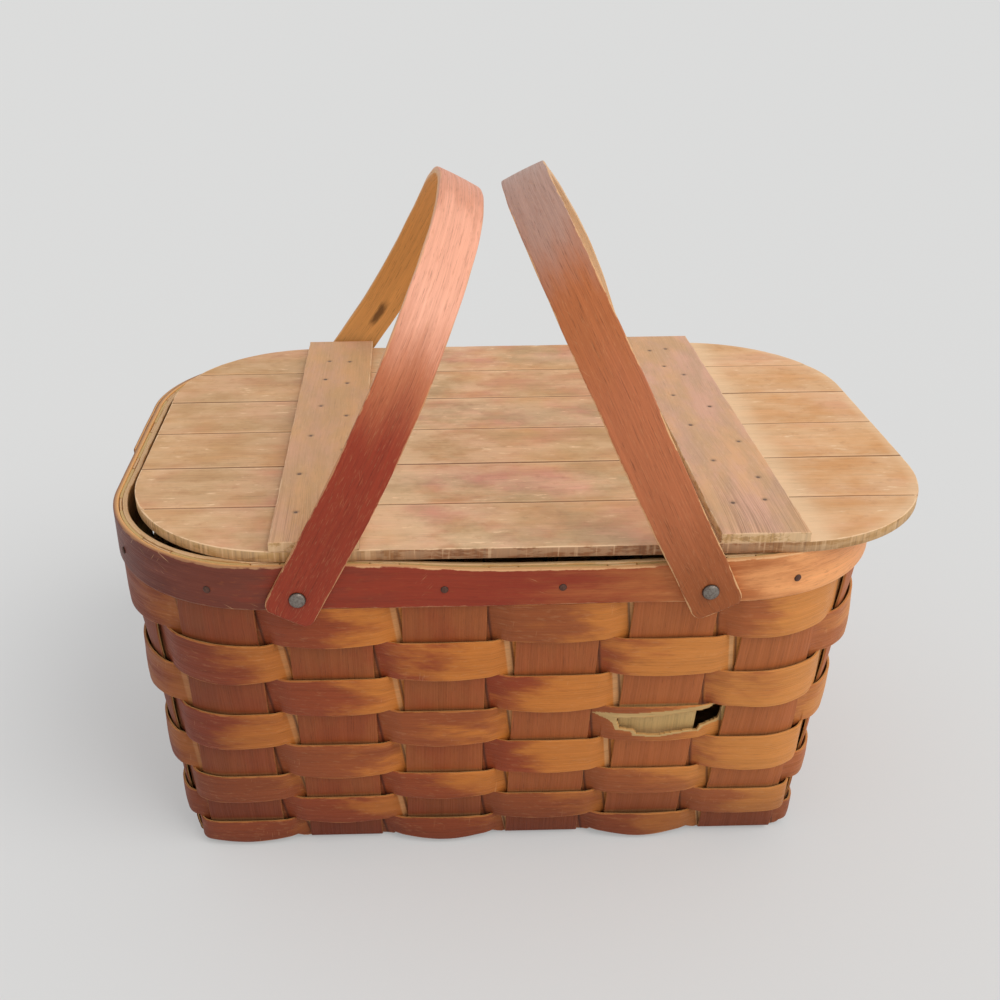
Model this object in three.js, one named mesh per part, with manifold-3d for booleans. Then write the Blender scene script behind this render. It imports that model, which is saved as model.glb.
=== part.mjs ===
// A lidded picnic basket woven from flat wood splints, with two swinging bentwood handles.
// Units are millimetres. +Z is up, +X runs along the basket, and the front faces -Y.
// The origin is on the floor, under the centre of the whole object's box.
import * as THREE from 'three';
import { mergeVertices } from 'three/addons/utils/BufferGeometryUtils.js';
import Module from 'manifold-3d';

const wasm = await Module();
wasm.setup();

// Driving dimensions of the whole basket
const rimLength = 444;
const rimDepth = 314;
const rimCornerRadius = 95;
const baseLength = 376;
const baseDepth = 224;
const baseCornerRadius = 9;
const clearance = 0.3;
const cutOverrun = 2;

// Splints: the uprights that run down, under and up again, and the rows woven through them
const uprightThickness = 1.5;
const crossUprightWidth = 46;
const crossUprightSpacing = 62.4;
const endUprightWidth = 38;
const endUprightLeastGap = 3;
const frontSpanAtRimShare = 0.822;
const cornerGapAtRim = 25;
const weaverThickness = 1.5;
const weaverBulge = 3;
const insideBulgeShare = 0.4;
const upperEdgeBulgeShare = 0.75;
const underRimBulgeShare = 0.25;
const weaverMargin = 1;
const narrowRowPitch = 21.9;
const narrowRowCount = 3;
const wideRowPitch = 27.6;
const wideRowCount = 5;
const rowGap = 0.8;
const bottomBend = 5;
const bottomSag = 2.4;

// Rim: a bent strip outside and one inside, with the uprights between them
const rimBandHeight = 26.4;
const outerBandThickness = 3.2;
const innerBandThickness = 3;
const bandEndGap = 0.6;

// Nails through the rim
const nailHeadRadius = 2.2;
const nailHeadThickness = 0.7;
const nailShankRadius = 0.9;
const nailBite = 2;
const nailDrop = 15.5;
const nailSides = 6;

// Handles and the rivets they swing on
const handleWidth = 28;
const handleThickness = 4.6;
const handleStraightLeg = 39.4;
const handleTail = 14;
const handleEndChamfer = 3;
const handlePivotOffset = 14.7;
const leftCrownPlace = 16.4;
const rightCrownPlace = 21.1;
const rivetDrop = 17;
const rivetShankRadius = 2;
const rivetHeadRadius = 4.6;
const rivetHeadHeight = 2.3;
const rivetTipRadius = 3;
const rivetTipHeight = 0.8;
const washerRadius = 5.2;
const washerThickness = 1;
const rivetSides = 12;

// Lid: tongued boards with a scored line along the middle of each, nailed under two battens
const lidInset = 4.6;
const lidEndOverhang = 6;
const lidShift = 19;
const lidCornerRadius = 92;
const boardCount = 3;
const boardThickness = 6.4;
const tongueThickness = 2;
const tongueReach = 2.6;
const scoreWidth = 1.6;
const scoreDepth = 1;
const jointChamfer = 0.6;
const battenWidth = 47;
const battenThickness = 5.6;
const battenSpacing = 236;
const battenChamfer = 0.8;

// Sizes worked out from those above
const rowEdges = [0];
for (let row = 0; row < narrowRowCount + wideRowCount; row += 1) {
  rowEdges.push(rowEdges[row] + (row < narrowRowCount ? narrowRowPitch : wideRowPitch));
}
const rowCount = narrowRowCount + wideRowCount;
const rimBottom = rowEdges[rowCount] + clearance;
const rimTop = rimBottom + rimBandHeight;
const outerFaceOffset = uprightThickness / 2 + clearance + outerBandThickness;
const innerFaceOffset = uprightThickness / 2 + clearance + innerBandThickness;
const weaveOffset = uprightThickness / 2 + clearance + weaverThickness / 2;
const rimOutline = {
  halfLength: rimLength / 2 - outerFaceOffset,
  halfDepth: rimDepth / 2 - outerFaceOffset,
  radius: rimCornerRadius - outerFaceOffset,
};
const baseOutline = {
  halfLength: baseLength / 2,
  halfDepth: baseDepth / 2,
  radius: baseCornerRadius,
};
const baseStraight = baseLength / 2 - baseCornerRadius;
const baseEndStraight = baseDepth / 2 - baseCornerRadius;
const crossSteps = Math.round((baseStraight * 2 - crossUprightWidth) / crossUprightSpacing);
const crossUprightCount = crossSteps + 1;
const endUprightCount = Math.floor(
  (baseEndStraight * 2 + endUprightLeastGap) / (endUprightWidth + endUprightLeastGap),
);
const crossReachAtRim = rimOutline.halfLength * frontSpanAtRimShare;
const endReachAtRim = quarterOf(rimOutline) - crossReachAtRim - cornerGapAtRim;
const pitchWithin = (reach, width, count) => (reach * 2 - width) / (count - 1);
const crossPitchAtBase = pitchWithin(baseStraight, crossUprightWidth, crossUprightCount);
const crossPitchAtRim = pitchWithin(crossReachAtRim, crossUprightWidth, crossUprightCount);
const endPitchAtBase = pitchWithin(baseEndStraight, endUprightWidth, endUprightCount);
const endPitchAtRim = pitchWithin(endReachAtRim, endUprightWidth, endUprightCount);
const rivetUpright = crossUprightCount - 2;
const pivotX = crossPlace(rivetUpright, rimTop) + handlePivotOffset;
const pivotZ = rimTop - rivetDrop;
const handleInner = outerFaceOffset + clearance;
const handleHalfSpan = rimOutline.halfDepth + handleInner + handleThickness / 2;
const handleReach = handleStraightLeg + handleHalfSpan;
const leftLean = Math.asin((pivotX - leftCrownPlace) / handleReach);
const rightLean = Math.asin((pivotX - rightCrownPlace) / handleReach);
const lidLength = rimLength + lidEndOverhang * 2;
const lidDepth = rimDepth - lidInset * 2;
const boardWidth = lidDepth / boardCount;
const lidBottom = rimTop + clearance;
const originShift = -(lidShift + lidLength / 2 - rimLength / 2) / 2;

// Colours, from the stained and worn wood
const finish = (color, roughness, metalness = 0) => (
  new THREE.MeshStandardMaterial({ color, roughness, metalness })
);
const uprightWood = finish(0x87492f, 0.7);
const weaverWood = finish(0xa8623a, 0.62);
const rimWood = finish(0x8c3b2a, 0.6);
const innerWood = finish(0xb98a4e, 0.75);
const handleWood = finish(0xb3573c, 0.55);
const boardWood = finish(0xcda078, 0.72);
const battenWood = finish(0xc0917a, 0.72);
const rivetMetal = finish(0x77736c, 0.45, 0.8);
const nailMetal = finish(0x3b302b, 0.6, 0.7);

const basket = new THREE.Group();
basket.position.x = originShift;
const body = new THREE.Group();
const lid = new THREE.Group();
basket.add(body, lid);

// Length of a rounded rectangle's outline from the middle of its front to the middle of its right end
function quarterOf({ halfLength, halfDepth, radius }) {
  return halfLength - radius + radius * Math.PI / 2 + halfDepth - radius;
}

// The wall's middle surface at a height: it flares in a straight line from the base to the rim
function outlineAt(height) {
  const share = Math.min(Math.max(height / rimBottom, 0), 1);
  return {
    halfLength: THREE.MathUtils.lerp(baseOutline.halfLength, rimOutline.halfLength, share),
    halfDepth: THREE.MathUtils.lerp(baseOutline.halfDepth, rimOutline.halfDepth, share),
    radius: THREE.MathUtils.lerp(baseOutline.radius, rimOutline.radius, share),
  };
}

// Point and outward direction at a distance along the outline, counted from the front's middle
function alongOutline(outline, distance) {
  const { halfLength, halfDepth, radius } = outline;
  const quarter = quarterOf(outline);
  const turn = THREE.MathUtils.euclideanModulo(distance, quarter * 4);
  const quadrant = Math.min(Math.floor(turn / quarter), 3);
  const walked = turn - quadrant * quarter;
  const reach = quadrant % 2 === 0 ? walked : quarter - walked;
  const straight = halfLength - radius;
  const arc = radius * Math.PI / 2;
  const angle = THREE.MathUtils.clamp((reach - straight) / radius, 0, Math.PI / 2);
  let x = straight + radius * Math.sin(angle);
  let y = radius * Math.cos(angle) + halfDepth - radius;
  if (reach < straight) {
    x = reach;
  }
  if (reach > straight + arc) {
    y = halfDepth - radius - (reach - straight - arc);
  }
  const signX = quadrant === 0 || quadrant === 1 ? 1 : -1;
  const signY = quadrant === 0 || quadrant === 3 ? -1 : 1;
  return {
    point: new THREE.Vector3(x * signX, y * signY, 0),
    outward: new THREE.Vector3(Math.sin(angle) * signX, Math.cos(angle) * signY, 0),
  };
}

// A point of the wall, moved outwards by an offset
function wallPoint(distance, height, offset) {
  const { point, outward } = alongOutline(outlineAt(height), distance);
  point.addScaledVector(outward, offset);
  point.z = height;
  return point;
}

// Signed volume, which is negative where the faces point inwards
function signedVolume(positions, index) {
  const a = new THREE.Vector3();
  const b = new THREE.Vector3();
  const c = new THREE.Vector3();
  let volume = 0;
  for (let i = 0; i < index.length; i += 3) {
    a.fromArray(positions, index[i] * 3);
    b.fromArray(positions, index[i + 1] * 3);
    c.fromArray(positions, index[i + 2] * 3);
    volume += a.dot(b.cross(c)) / 6;
  }
  return volume;
}

function closedGeometry(positions, index) {
  const faces = [...index];
  if (signedVolume(positions, faces) < 0) {
    for (let i = 0; i < faces.length; i += 3) {
      [faces[i + 1], faces[i + 2]] = [faces[i + 2], faces[i + 1]];
    }
  }
  const geometry = new THREE.BufferGeometry();
  geometry.setAttribute('position', new THREE.Float32BufferAttribute(positions, 3));
  geometry.setIndex(faces);
  return geometry;
}

// A strip through a list of sections, each a row of outer points and a matching row of inner ones
function stripThrough(sections) {
  const across = sections[0].outer.length;
  const positions = [];
  const index = [];
  for (const { outer, inner } of sections) {
    for (const point of [...outer, ...inner]) {
      positions.push(point.x, point.y, point.z);
    }
  }
  const outerAt = (section, k) => section * across * 2 + k;
  const innerAt = (section, k) => outerAt(section, k) + across;
  const quad = (a, b, c, d) => index.push(a, b, c, a, c, d);
  const last = sections.length - 1;
  for (let s = 0; s < last; s += 1) {
    for (let k = 0; k < across - 1; k += 1) {
      quad(outerAt(s, k), outerAt(s, k + 1), outerAt(s + 1, k + 1), outerAt(s + 1, k));
      quad(innerAt(s, k), innerAt(s + 1, k), innerAt(s + 1, k + 1), innerAt(s, k + 1));
    }
    const end = across - 1;
    quad(outerAt(s, 0), outerAt(s + 1, 0), innerAt(s + 1, 0), innerAt(s, 0));
    quad(outerAt(s, end), innerAt(s, end), innerAt(s + 1, end), outerAt(s + 1, end));
  }
  for (let k = 0; k < across - 1; k += 1) {
    quad(outerAt(0, k), innerAt(0, k), innerAt(0, k + 1), outerAt(0, k + 1));
    quad(outerAt(last, k), outerAt(last, k + 1), innerAt(last, k + 1), innerAt(last, k));
  }
  return closedGeometry(positions, index);
}

// Booleans
function toSolid(geometry) {
  const bare = geometry.clone();
  bare.deleteAttribute('normal');
  bare.deleteAttribute('uv');
  const merged = mergeVertices(bare, clearance / 1000);
  const positions = merged.getAttribute('position').array;
  const whole = closedGeometry([...positions], [...merged.getIndex().array]);
  return new wasm.Manifold(new wasm.Mesh({
    numProp: 3,
    vertProperties: Float32Array.from(whole.getAttribute('position').array),
    triVerts: Uint32Array.from(whole.getIndex().array),
  }));
}

function toGeometry(solid) {
  const mesh = solid.getMesh();
  return closedGeometry([...mesh.vertProperties], [...mesh.triVerts]);
}

function addPiece(group, name, geometry, material) {
  const mesh = new THREE.Mesh(geometry, material);
  mesh.name = name;
  group.add(mesh);
  return mesh;
}

// A round rod with steps, along the given outward direction: profile pairs are radius and reach
function turnedRod(profile, sides, origin, outward) {
  const points = profile.map(([radius, reach]) => new THREE.Vector2(radius, reach));
  const geometry = new THREE.LatheGeometry(points, sides);
  const turn = new THREE.Quaternion().setFromUnitVectors(new THREE.Vector3(0, 1, 0), outward);
  geometry.applyQuaternion(turn);
  geometry.translate(origin.x, origin.y, origin.z);
  return geometry;
}

// Places of the uprights along the wall at a height: they spread from the base to the rim
function spreadPlace(number, count, pitchAtBase, pitchAtRim, height) {
  const share = Math.min(height / rimBottom, 1);
  return (number - (count - 1) / 2) * THREE.MathUtils.lerp(pitchAtBase, pitchAtRim, share);
}
function crossPlace(i, height) {
  return spreadPlace(i, crossUprightCount, crossPitchAtBase, crossPitchAtRim, height);
}
function endPlace(j, height) {
  return spreadPlace(j, endUprightCount, endPitchAtBase, endPitchAtRim, height);
}

// Uprights, in order round the basket: front, right end, back, left end
const uprightStops = [];
for (let i = 0; i < crossUprightCount; i += 1) {
  uprightStops.push({
    width: crossUprightWidth,
    atCorner: i === 0 || i === crossUprightCount - 1,
    distance: (height) => crossPlace(i, height),
  });
}
for (let j = 0; j < endUprightCount; j += 1) {
  uprightStops.push({
    width: endUprightWidth,
    atCorner: j === 0 || j === endUprightCount - 1,
    distance: (height) => quarterOf(outlineAt(height)) + endPlace(j, height),
  });
}
const halfRound = uprightStops.length;
for (let k = 0; k < halfRound; k += 1) {
  const { width, atCorner, distance } = uprightStops[k];
  uprightStops.push({
    width,
    atCorner,
    distance: (height) => quarterOf(outlineAt(height)) * 2 + distance(height),
  });
}

// Heights of the layers in the base: low and high passes, with the cross uprights between
const layerStep = uprightThickness + clearance;
const lowLayer = uprightThickness / 2;
const crossLayer = lowLayer + layerStep;
const highLayer = crossLayer + layerStep;

const bendSteps = 3;
const cornerShares = [-0.5, -0.25, 0, 0.25, 0.5];
const edgeShares = [-0.5, 0.5];

// Section of an upright on the wall, with its width laid along the outline
function wallSection(distance, width, shares, height) {
  const row = (offset) => shares.map((share) => wallPoint(distance + share * width, height, offset));
  return { outer: row(uprightThickness / 2), inner: row(-uprightThickness / 2) };
}

// Sections round the bend between the wall and the base, ending flat at the base layer
function bendSections(wall, toBase, layer) {
  const down = new THREE.Vector3(0, 0, -1);
  const sections = [];
  for (let step = 1; step <= bendSteps; step += 1) {
    const t = step / bendSteps;
    const outer = [];
    const inner = [];
    wall.outer.forEach((wallOuter, k) => {
      const start = wallOuter.clone().add(wall.inner[k]).multiplyScalar(0.5);
      const outward = wallOuter.clone().sub(wall.inner[k]).normalize();
      const end = start.clone().addScaledVector(toBase, bottomBend);
      end.z = layer;
      const corner = start.clone();
      corner.z = layer;
      const point = start.multiplyScalar((1 - t) * (1 - t));
      point.addScaledVector(corner, 2 * t * (1 - t)).addScaledVector(end, t * t);
      const side = outward.lerp(down, t).normalize();
      outer.push(point.clone().addScaledVector(side, uprightThickness / 2));
      inner.push(point.clone().addScaledVector(side, -uprightThickness / 2));
    });
    sections.push({ outer, inner });
  }
  return sections;
}

// Section of a flat strip in the base, at points given as [x, y]
function flatSection(points, layer) {
  const row = (offset) => points.map(([x, y]) => new THREE.Vector3(x, y, layer - offset));
  return { outer: row(uprightThickness / 2), inner: row(-uprightThickness / 2) };
}

// Heights where an upright's wall part has a section: every row edge at a corner, else the ends
function wallHeights(atCorner) {
  const inner = atCorner ? rowEdges.slice(1, rowCount) : [];
  return [bottomBend, ...inner, rimBottom, rimTop];
}

// Holes for nails and rivets, collected while those are placed, and cut from what they pass
const drillings = [];
function drilled(geometry) {
  const box = new THREE.Box3().setFromBufferAttribute(geometry.getAttribute('position'));
  let solid = toSolid(geometry);
  for (const { rod, reach } of drillings) {
    if (box.intersectsBox(reach)) {
      solid = solid.subtract(toSolid(rod));
    }
  }
  return toGeometry(solid);
}

function addDrilling(radius, from, to, sides, origin, outward) {
  const rod = turnedRod([[0, from], [radius, from], [radius, to], [0, to]], sides, origin, outward);
  rod.computeBoundingBox();
  drillings.push({ rod, reach: rod.boundingBox });
}

// Rim nails: one at each upright, apart from those that a handle's rivet already holds
const nailBack = -(uprightThickness / 2 + clearance + nailBite);
const nailFace = outerFaceOffset + clearance;
const nailProfile = [
  [0, nailBack],
  [nailShankRadius, nailBack],
  [nailShankRadius, nailFace],
  [nailHeadRadius, nailFace],
  [nailHeadRadius, nailFace + nailHeadThickness],
  [0, nailFace + nailHeadThickness],
];
const nailHeight = rimTop - nailDrop;
let nailNumber = 0;
uprightStops.forEach(({ distance }, k) => {
  const place = k % halfRound;
  const carriesRivet = place === rivetUpright || place === crossUprightCount - 1 - rivetUpright;
  if (carriesRivet) {
    return;
  }
  const { point, outward } = alongOutline(rimOutline, distance(rimTop));
  point.z = nailHeight;
  nailNumber += 1;
  const name = `rim_nail_${String(nailNumber).padStart(2, '0')}`;
  addPiece(body, name, turnedRod(nailProfile, nailSides, point, outward), nailMetal);
  const holeRadius = nailShankRadius + clearance;
  addDrilling(holeRadius, nailBack - clearance, nailFace, nailSides, point, outward);
});

// Rivets: head outside the handle, tip peened over a washer inside the rim
const handleOuter = handleInner + handleThickness;
const rivetHeadFace = handleOuter + clearance;
const washerOuter = -(innerFaceOffset + clearance);
const washerInner = washerOuter - washerThickness;
const domeSteps = 4;
const rivetProfile = [
  [0, washerInner - rivetTipHeight],
  [rivetTipRadius, washerInner - rivetTipHeight],
  [rivetTipRadius, washerInner],
  [rivetShankRadius, washerInner],
  [rivetShankRadius, rivetHeadFace],
];
for (let step = 0; step <= domeSteps; step += 1) {
  const angle = step / domeSteps * Math.PI / 2;
  const reach = rivetHeadFace + rivetHeadHeight * Math.sin(angle);
  rivetProfile.push([step === domeSteps ? 0 : rivetHeadRadius * Math.cos(angle), reach]);
}
const washerHole = rivetShankRadius + clearance;
const washerProfile = [
  [washerHole, washerInner],
  [washerRadius, washerInner],
  [washerRadius, washerOuter],
  [washerHole, washerOuter],
  [washerHole, washerInner],
];
const rivetSites = [];
for (const [face, faceSign] of [['front', -1], ['back', 1]]) {
  for (const [side, sideSign] of [['left', -1], ['right', 1]]) {
    const origin = new THREE.Vector3(pivotX * sideSign, rimOutline.halfDepth * faceSign, pivotZ);
    const outward = new THREE.Vector3(0, faceSign, 0);
    rivetSites.push({ origin, outward });
    addPiece(body, `rivet_${face}_${side}`,
      turnedRod(rivetProfile, rivetSides, origin, outward), rivetMetal);
    addPiece(body, `rivet_washer_${face}_${side}`,
      turnedRod(washerProfile, rivetSides, origin, outward), rivetMetal);
    addDrilling(washerHole, washerOuter - cutOverrun, handleOuter + cutOverrun,
      rivetSides, origin, outward);
  }
}

// Cross uprights: down the back wall, flat under the basket and up the front wall
function crossUpright(i) {
  const atCorner = i === 0 || i === crossUprightCount - 1;
  const shares = atCorner ? cornerShares : edgeShares;
  const heights = wallHeights(atCorner);
  const front = heights.map((height) => (
    wallSection(crossPlace(i, height), crossUprightWidth, shares, height)
  ));
  const back = heights.map((height) => {
    const distance = quarterOf(outlineAt(height)) * 2 - crossPlace(i, height);
    return wallSection(distance, -crossUprightWidth, shares, height);
  });
  const frontBend = bendSections(front[0], new THREE.Vector3(0, 1, 0), crossLayer);
  const backBend = bendSections(back[0], new THREE.Vector3(0, -1, 0), crossLayer);
  return stripThrough([
    ...back.reverse(), ...backBend, ...frontBend.reverse(), ...front,
  ]);
}
for (let i = 0; i < crossUprightCount; i += 1) {
  addPiece(body, `cross_upright_${i + 1}`, drilled(crossUpright(i)), uprightWood);
}

// End uprights: down the left end, over and under the cross uprights in the base, up the right end
function endUpright(j) {
  const offCentre = j !== (endUprightCount - 1) / 2;
  const shares = offCentre ? cornerShares : edgeShares;
  const heights = wallHeights(offCentre);
  const right = heights.map((height) => {
    const distance = quarterOf(outlineAt(height)) + endPlace(j, height);
    return wallSection(distance, endUprightWidth, shares, height);
  });
  const left = heights.map((height) => {
    const distance = quarterOf(outlineAt(height)) * 3 - endPlace(j, height);
    return wallSection(distance, -endUprightWidth, shares, height);
  });
  const layerOver = (i) => ((i + j) % 2 === 0 ? lowLayer : highLayer);
  const y = endPlace(j, 0);
  const flat = [];
  for (let i = 0; i < crossUprightCount; i += 1) {
    for (const side of edgeShares) {
      const x = crossPlace(i, 0) + side * (crossUprightWidth + weaverMargin * 2);
      const row = shares.map((share) => [x, y + share * endUprightWidth]);
      flat.push(flatSection(row, layerOver(i)));
    }
  }
  const leftBend = bendSections(left[0], new THREE.Vector3(1, 0, 0), layerOver(0));
  const rightBend = bendSections(right[0], new THREE.Vector3(-1, 0, 0), layerOver(crossUprightCount - 1));
  return stripThrough([
    ...left.reverse(), ...leftBend, ...flat, ...rightBend.reverse(), ...right,
  ]);
}
for (let j = 0; j < endUprightCount; j += 1) {
  addPiece(body, `end_upright_${j + 1}`, drilled(endUpright(j)), uprightWood);
}

// Weavers: rows are numbered from the top, and each starts and ends in a lap inside the back wall
const lapStep = weaverThickness + clearance;
function weaverRow(row) {
  const edge = rowCount - 1 - row;
  const lower = edge === 0 ? bottomBend + rowGap / 2 : rowEdges[edge] + rowGap / 2;
  const upper = rowEdges[edge + 1] - rowGap / 2;
  const stops = uprightStops.length;
  const backMiddle = halfRound + Math.ceil(crossUprightCount / 2);
  const lapAt = (backMiddle + row) % 2 === 0 ? backMiddle : backMiddle - 1;
  const sag = edge === 0 ? bottomSag : 0;
  const upperShare = row === 0 ? underRimBulgeShare : upperEdgeBulgeShare;
  const sections = [];
  for (let turn = 0; turn <= stops; turn += 1) {
    const k = (lapAt + turn) % stops;
    const { width, distance } = uprightStops[k];
    const isOutside = (k + row) % 2 === 1;
    const isLapped = turn === 0 || turn === stops;
    const laps = Math.floor((lapAt + turn) / stops);
    for (const share of cornerShares) {
      const arch = Math.cos(Math.PI * share);
      const insideArch = isLapped ? 0 : insideBulgeShare * arch;
      const bulge = weaverBulge * (isOutside ? arch : -insideArch);
      let offset = isOutside ? weaveOffset : -weaveOffset;
      if (turn === 0) {
        offset -= lapStep;
      }
      const place = (height) => distance(height) + share * (width + weaverMargin * 2)
        + laps * quarterOf(outlineAt(height)) * 4;
      const low = isOutside ? lower - sag * arch : lower;
      const side = (shift) => [[low, 1], [upper, upperShare]].map(([height, bulgeShare]) => (
        wallPoint(place(height), height, offset + bulge * bulgeShare + shift)
      ));
      sections.push({ outer: side(weaverThickness / 2), inner: side(-weaverThickness / 2) });
    }
  }
  return { geometry: stripThrough(sections), lower, upper };
}

// The fourth row is broken at the right rivet's upright: shares of the pitch and the row's height
const tornRow = 3;
const tearShares = [
  [-0.74, 0.8], [-0.57, 0.73], [-0.55, 0.62], [-0.41, 0.58], [-0.39, 0.36], [-0.2, 0.32],
  [-0.18, 0.19], [0, 0.19], [0.17, 0.27], [0.31, 0.42], [0.34, 0.52], [0.48, 0.68],
  [0.48, 0.93], [0.26, 0.89], [0.1, 0.85], [-0.2, 0.78], [-0.47, 0.8], [-0.6, 0.86],
];
function tear(lower, upper) {
  const centre = crossPlace(rivetUpright, lower);
  const pitch = centre - crossPlace(rivetUpright - 1, lower);
  const shape = new THREE.Shape(tearShares.map(([across, up]) => new THREE.Vector2(
    centre + across * pitch,
    THREE.MathUtils.lerp(lower, upper, up),
  )));
  const depth = rimDepth / 2;
  const geometry = new THREE.ExtrudeGeometry(shape, { depth, bevelEnabled: false });
  geometry.rotateX(Math.PI / 2);
  return geometry;
}
for (let row = 0; row < rowCount; row += 1) {
  const { geometry, lower, upper } = weaverRow(row);
  const whole = row === tornRow
    ? toGeometry(toSolid(geometry).subtract(toSolid(tear(lower, upper))))
    : geometry;
  addPiece(body, `weaver_row_${row + 1}`, whole, weaverWood);
}

// Rim bands, bent round and butted at the middle of the back
const bandArcSteps = 16;
function rimBand(inside, outside) {
  const { halfLength, halfDepth, radius } = rimOutline;
  const quarter = quarterOf(rimOutline);
  const arc = radius * Math.PI / 2;
  const start = quarter * 2 + bandEndGap / 2;
  const distances = [start];
  const corners = [
    quarter * 2 + halfLength - radius,
    quarter * 3 + halfDepth - radius,
    quarter * 4 + halfLength - radius,
    quarter * 5 + halfDepth - radius,
  ];
  for (const corner of corners) {
    for (let step = 0; step <= bandArcSteps; step += 1) {
      distances.push(corner + arc * step / bandArcSteps);
    }
  }
  distances.push(quarter * 6 - bandEndGap / 2);
  return stripThrough(distances.map((distance) => {
    const side = (offset) => [rimBottom, rimTop].map((height) => wallPoint(distance, height, offset));
    return { outer: side(outside), inner: side(inside) };
  }));
}
const bandSeat = uprightThickness / 2 + clearance;
addPiece(body, 'outer_rim_band', drilled(rimBand(bandSeat, outerFaceOffset)), rimWood);
addPiece(body, 'inner_rim_band', drilled(rimBand(-innerFaceOffset, -bandSeat)), innerWood);

// Handles: an upright strip bent over in a half circle, drawn about its pivot and then leaned in
const handleArcSteps = 24;
const handleHole = rivetShankRadius + clearance;
function handleStrip() {
  const line = [];
  const leg = (height, width) => line.push({ y: -handleHalfSpan, z: height, out: [-1, 0], width });
  leg(-handleTail, handleWidth - handleEndChamfer * 2);
  leg(-handleTail + handleEndChamfer, handleWidth);
  for (let step = 0; step <= handleArcSteps; step += 1) {
    const angle = Math.PI * step / handleArcSteps;
    const out = [-Math.cos(angle), Math.sin(angle)];
    line.push({
      y: out[0] * handleHalfSpan,
      z: handleStraightLeg + out[1] * handleHalfSpan,
      out,
      width: handleWidth,
    });
  }
  for (const { z, width } of line.slice(0, 2).reverse()) {
    line.push({ y: handleHalfSpan, z, out: [1, 0], width });
  }
  return stripThrough(line.map(({ y, z, out, width }) => {
    const side = (shift) => edgeShares.map((share) => (
      new THREE.Vector3(share * width, y + out[0] * shift, z + out[1] * shift)
    ));
    return { outer: side(handleThickness / 2), inner: side(-handleThickness / 2) };
  }));
}
function handleWithHoles() {
  const reach = handleHalfSpan + handleThickness;
  const rod = new THREE.CylinderGeometry(handleHole, handleHole, reach * 2, rivetSides);
  return toGeometry(toSolid(handleStrip()).subtract(toSolid(rod)));
}
for (const [name, sign, lean] of [['left_handle', -1, leftLean], ['right_handle', 1, -rightLean]]) {
  const handle = addPiece(basket, name, handleWithHoles(), handleWood);
  handle.position.set(pivotX * sign, 0, pivotZ);
  handle.rotation.y = lean;
}

// Lid boards: the lid's rounded outline cut by each board's tongued section
function roundedRectangle(length, depth, radius) {
  const x = length / 2;
  const y = depth / 2;
  const shape = new THREE.Shape();
  shape.moveTo(-x + radius, -y);
  shape.lineTo(x - radius, -y);
  shape.absarc(x - radius, -y + radius, radius, -Math.PI / 2, 0);
  shape.lineTo(x, y - radius);
  shape.absarc(x - radius, y - radius, radius, 0, Math.PI / 2);
  shape.lineTo(-x + radius, y);
  shape.absarc(-x + radius, y - radius, radius, Math.PI / 2, Math.PI);
  shape.lineTo(-x, -y + radius);
  shape.absarc(-x + radius, -y + radius, radius, Math.PI, Math.PI * 1.5);
  return shape;
}
const lidArcSteps = 14;
const lidBlank = new THREE.ExtrudeGeometry(roundedRectangle(lidLength, lidDepth, lidCornerRadius), {
  depth: boardThickness,
  bevelEnabled: false,
  curveSegments: lidArcSteps,
});

// A board's section as [y, z] pairs, with a groove in front, a tongue behind and a scored middle
function boardSection(front, back, hasGroove, hasTongue) {
  const top = boardThickness;
  const middle = (front + back) / 2;
  const tongueLow = (boardThickness - tongueThickness) / 2;
  const tongueHigh = tongueLow + tongueThickness;
  const points = [[front, 0], [back, 0]];
  if (hasTongue) {
    points.push([back, tongueLow], [back + tongueReach, tongueLow]);
    points.push([back + tongueReach, tongueHigh], [back, tongueHigh]);
  }
  points.push([back, top - jointChamfer], [back - jointChamfer, top]);
  points.push([middle + scoreWidth / 2, top], [middle, top - scoreDepth]);
  points.push([middle - scoreWidth / 2, top]);
  points.push([front + jointChamfer, top], [front, top - jointChamfer]);
  if (hasGroove) {
    const grooveReach = front + tongueReach + clearance;
    points.push([front, tongueHigh + clearance], [grooveReach, tongueHigh + clearance]);
    points.push([grooveReach, tongueLow - clearance], [front, tongueLow - clearance]);
  }
  return points;
}
function lidBoard(number) {
  const isFirst = number === 0;
  const isLast = number === boardCount - 1;
  const edge = -lidDepth / 2 + number * boardWidth;
  const front = isFirst ? edge : edge + clearance / 2;
  const back = isLast ? edge + boardWidth : edge + boardWidth - clearance / 2;
  const section = boardSection(front, back, !isFirst, !isLast);
  const shape = new THREE.Shape(section.map(([y, z]) => new THREE.Vector2(y, z)));
  const depth = lidLength + cutOverrun * 2;
  const plank = new THREE.ExtrudeGeometry(shape, { depth, bevelEnabled: false });
  plank.translate(0, 0, -depth / 2);
  plank.applyMatrix4(new THREE.Matrix4().set(
    0, 0, 1, 0,
    1, 0, 0, 0,
    0, 1, 0, 0,
    0, 0, 0, 1,
  ));
  return toGeometry(toSolid(lidBlank).intersect(toSolid(plank)));
}
lid.position.set(lidShift, 0, lidBottom);
['front', 'middle', 'back'].forEach((place, number) => {
  addPiece(lid, `lid_board_${place}`, lidBoard(number), boardWood);
});

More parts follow.
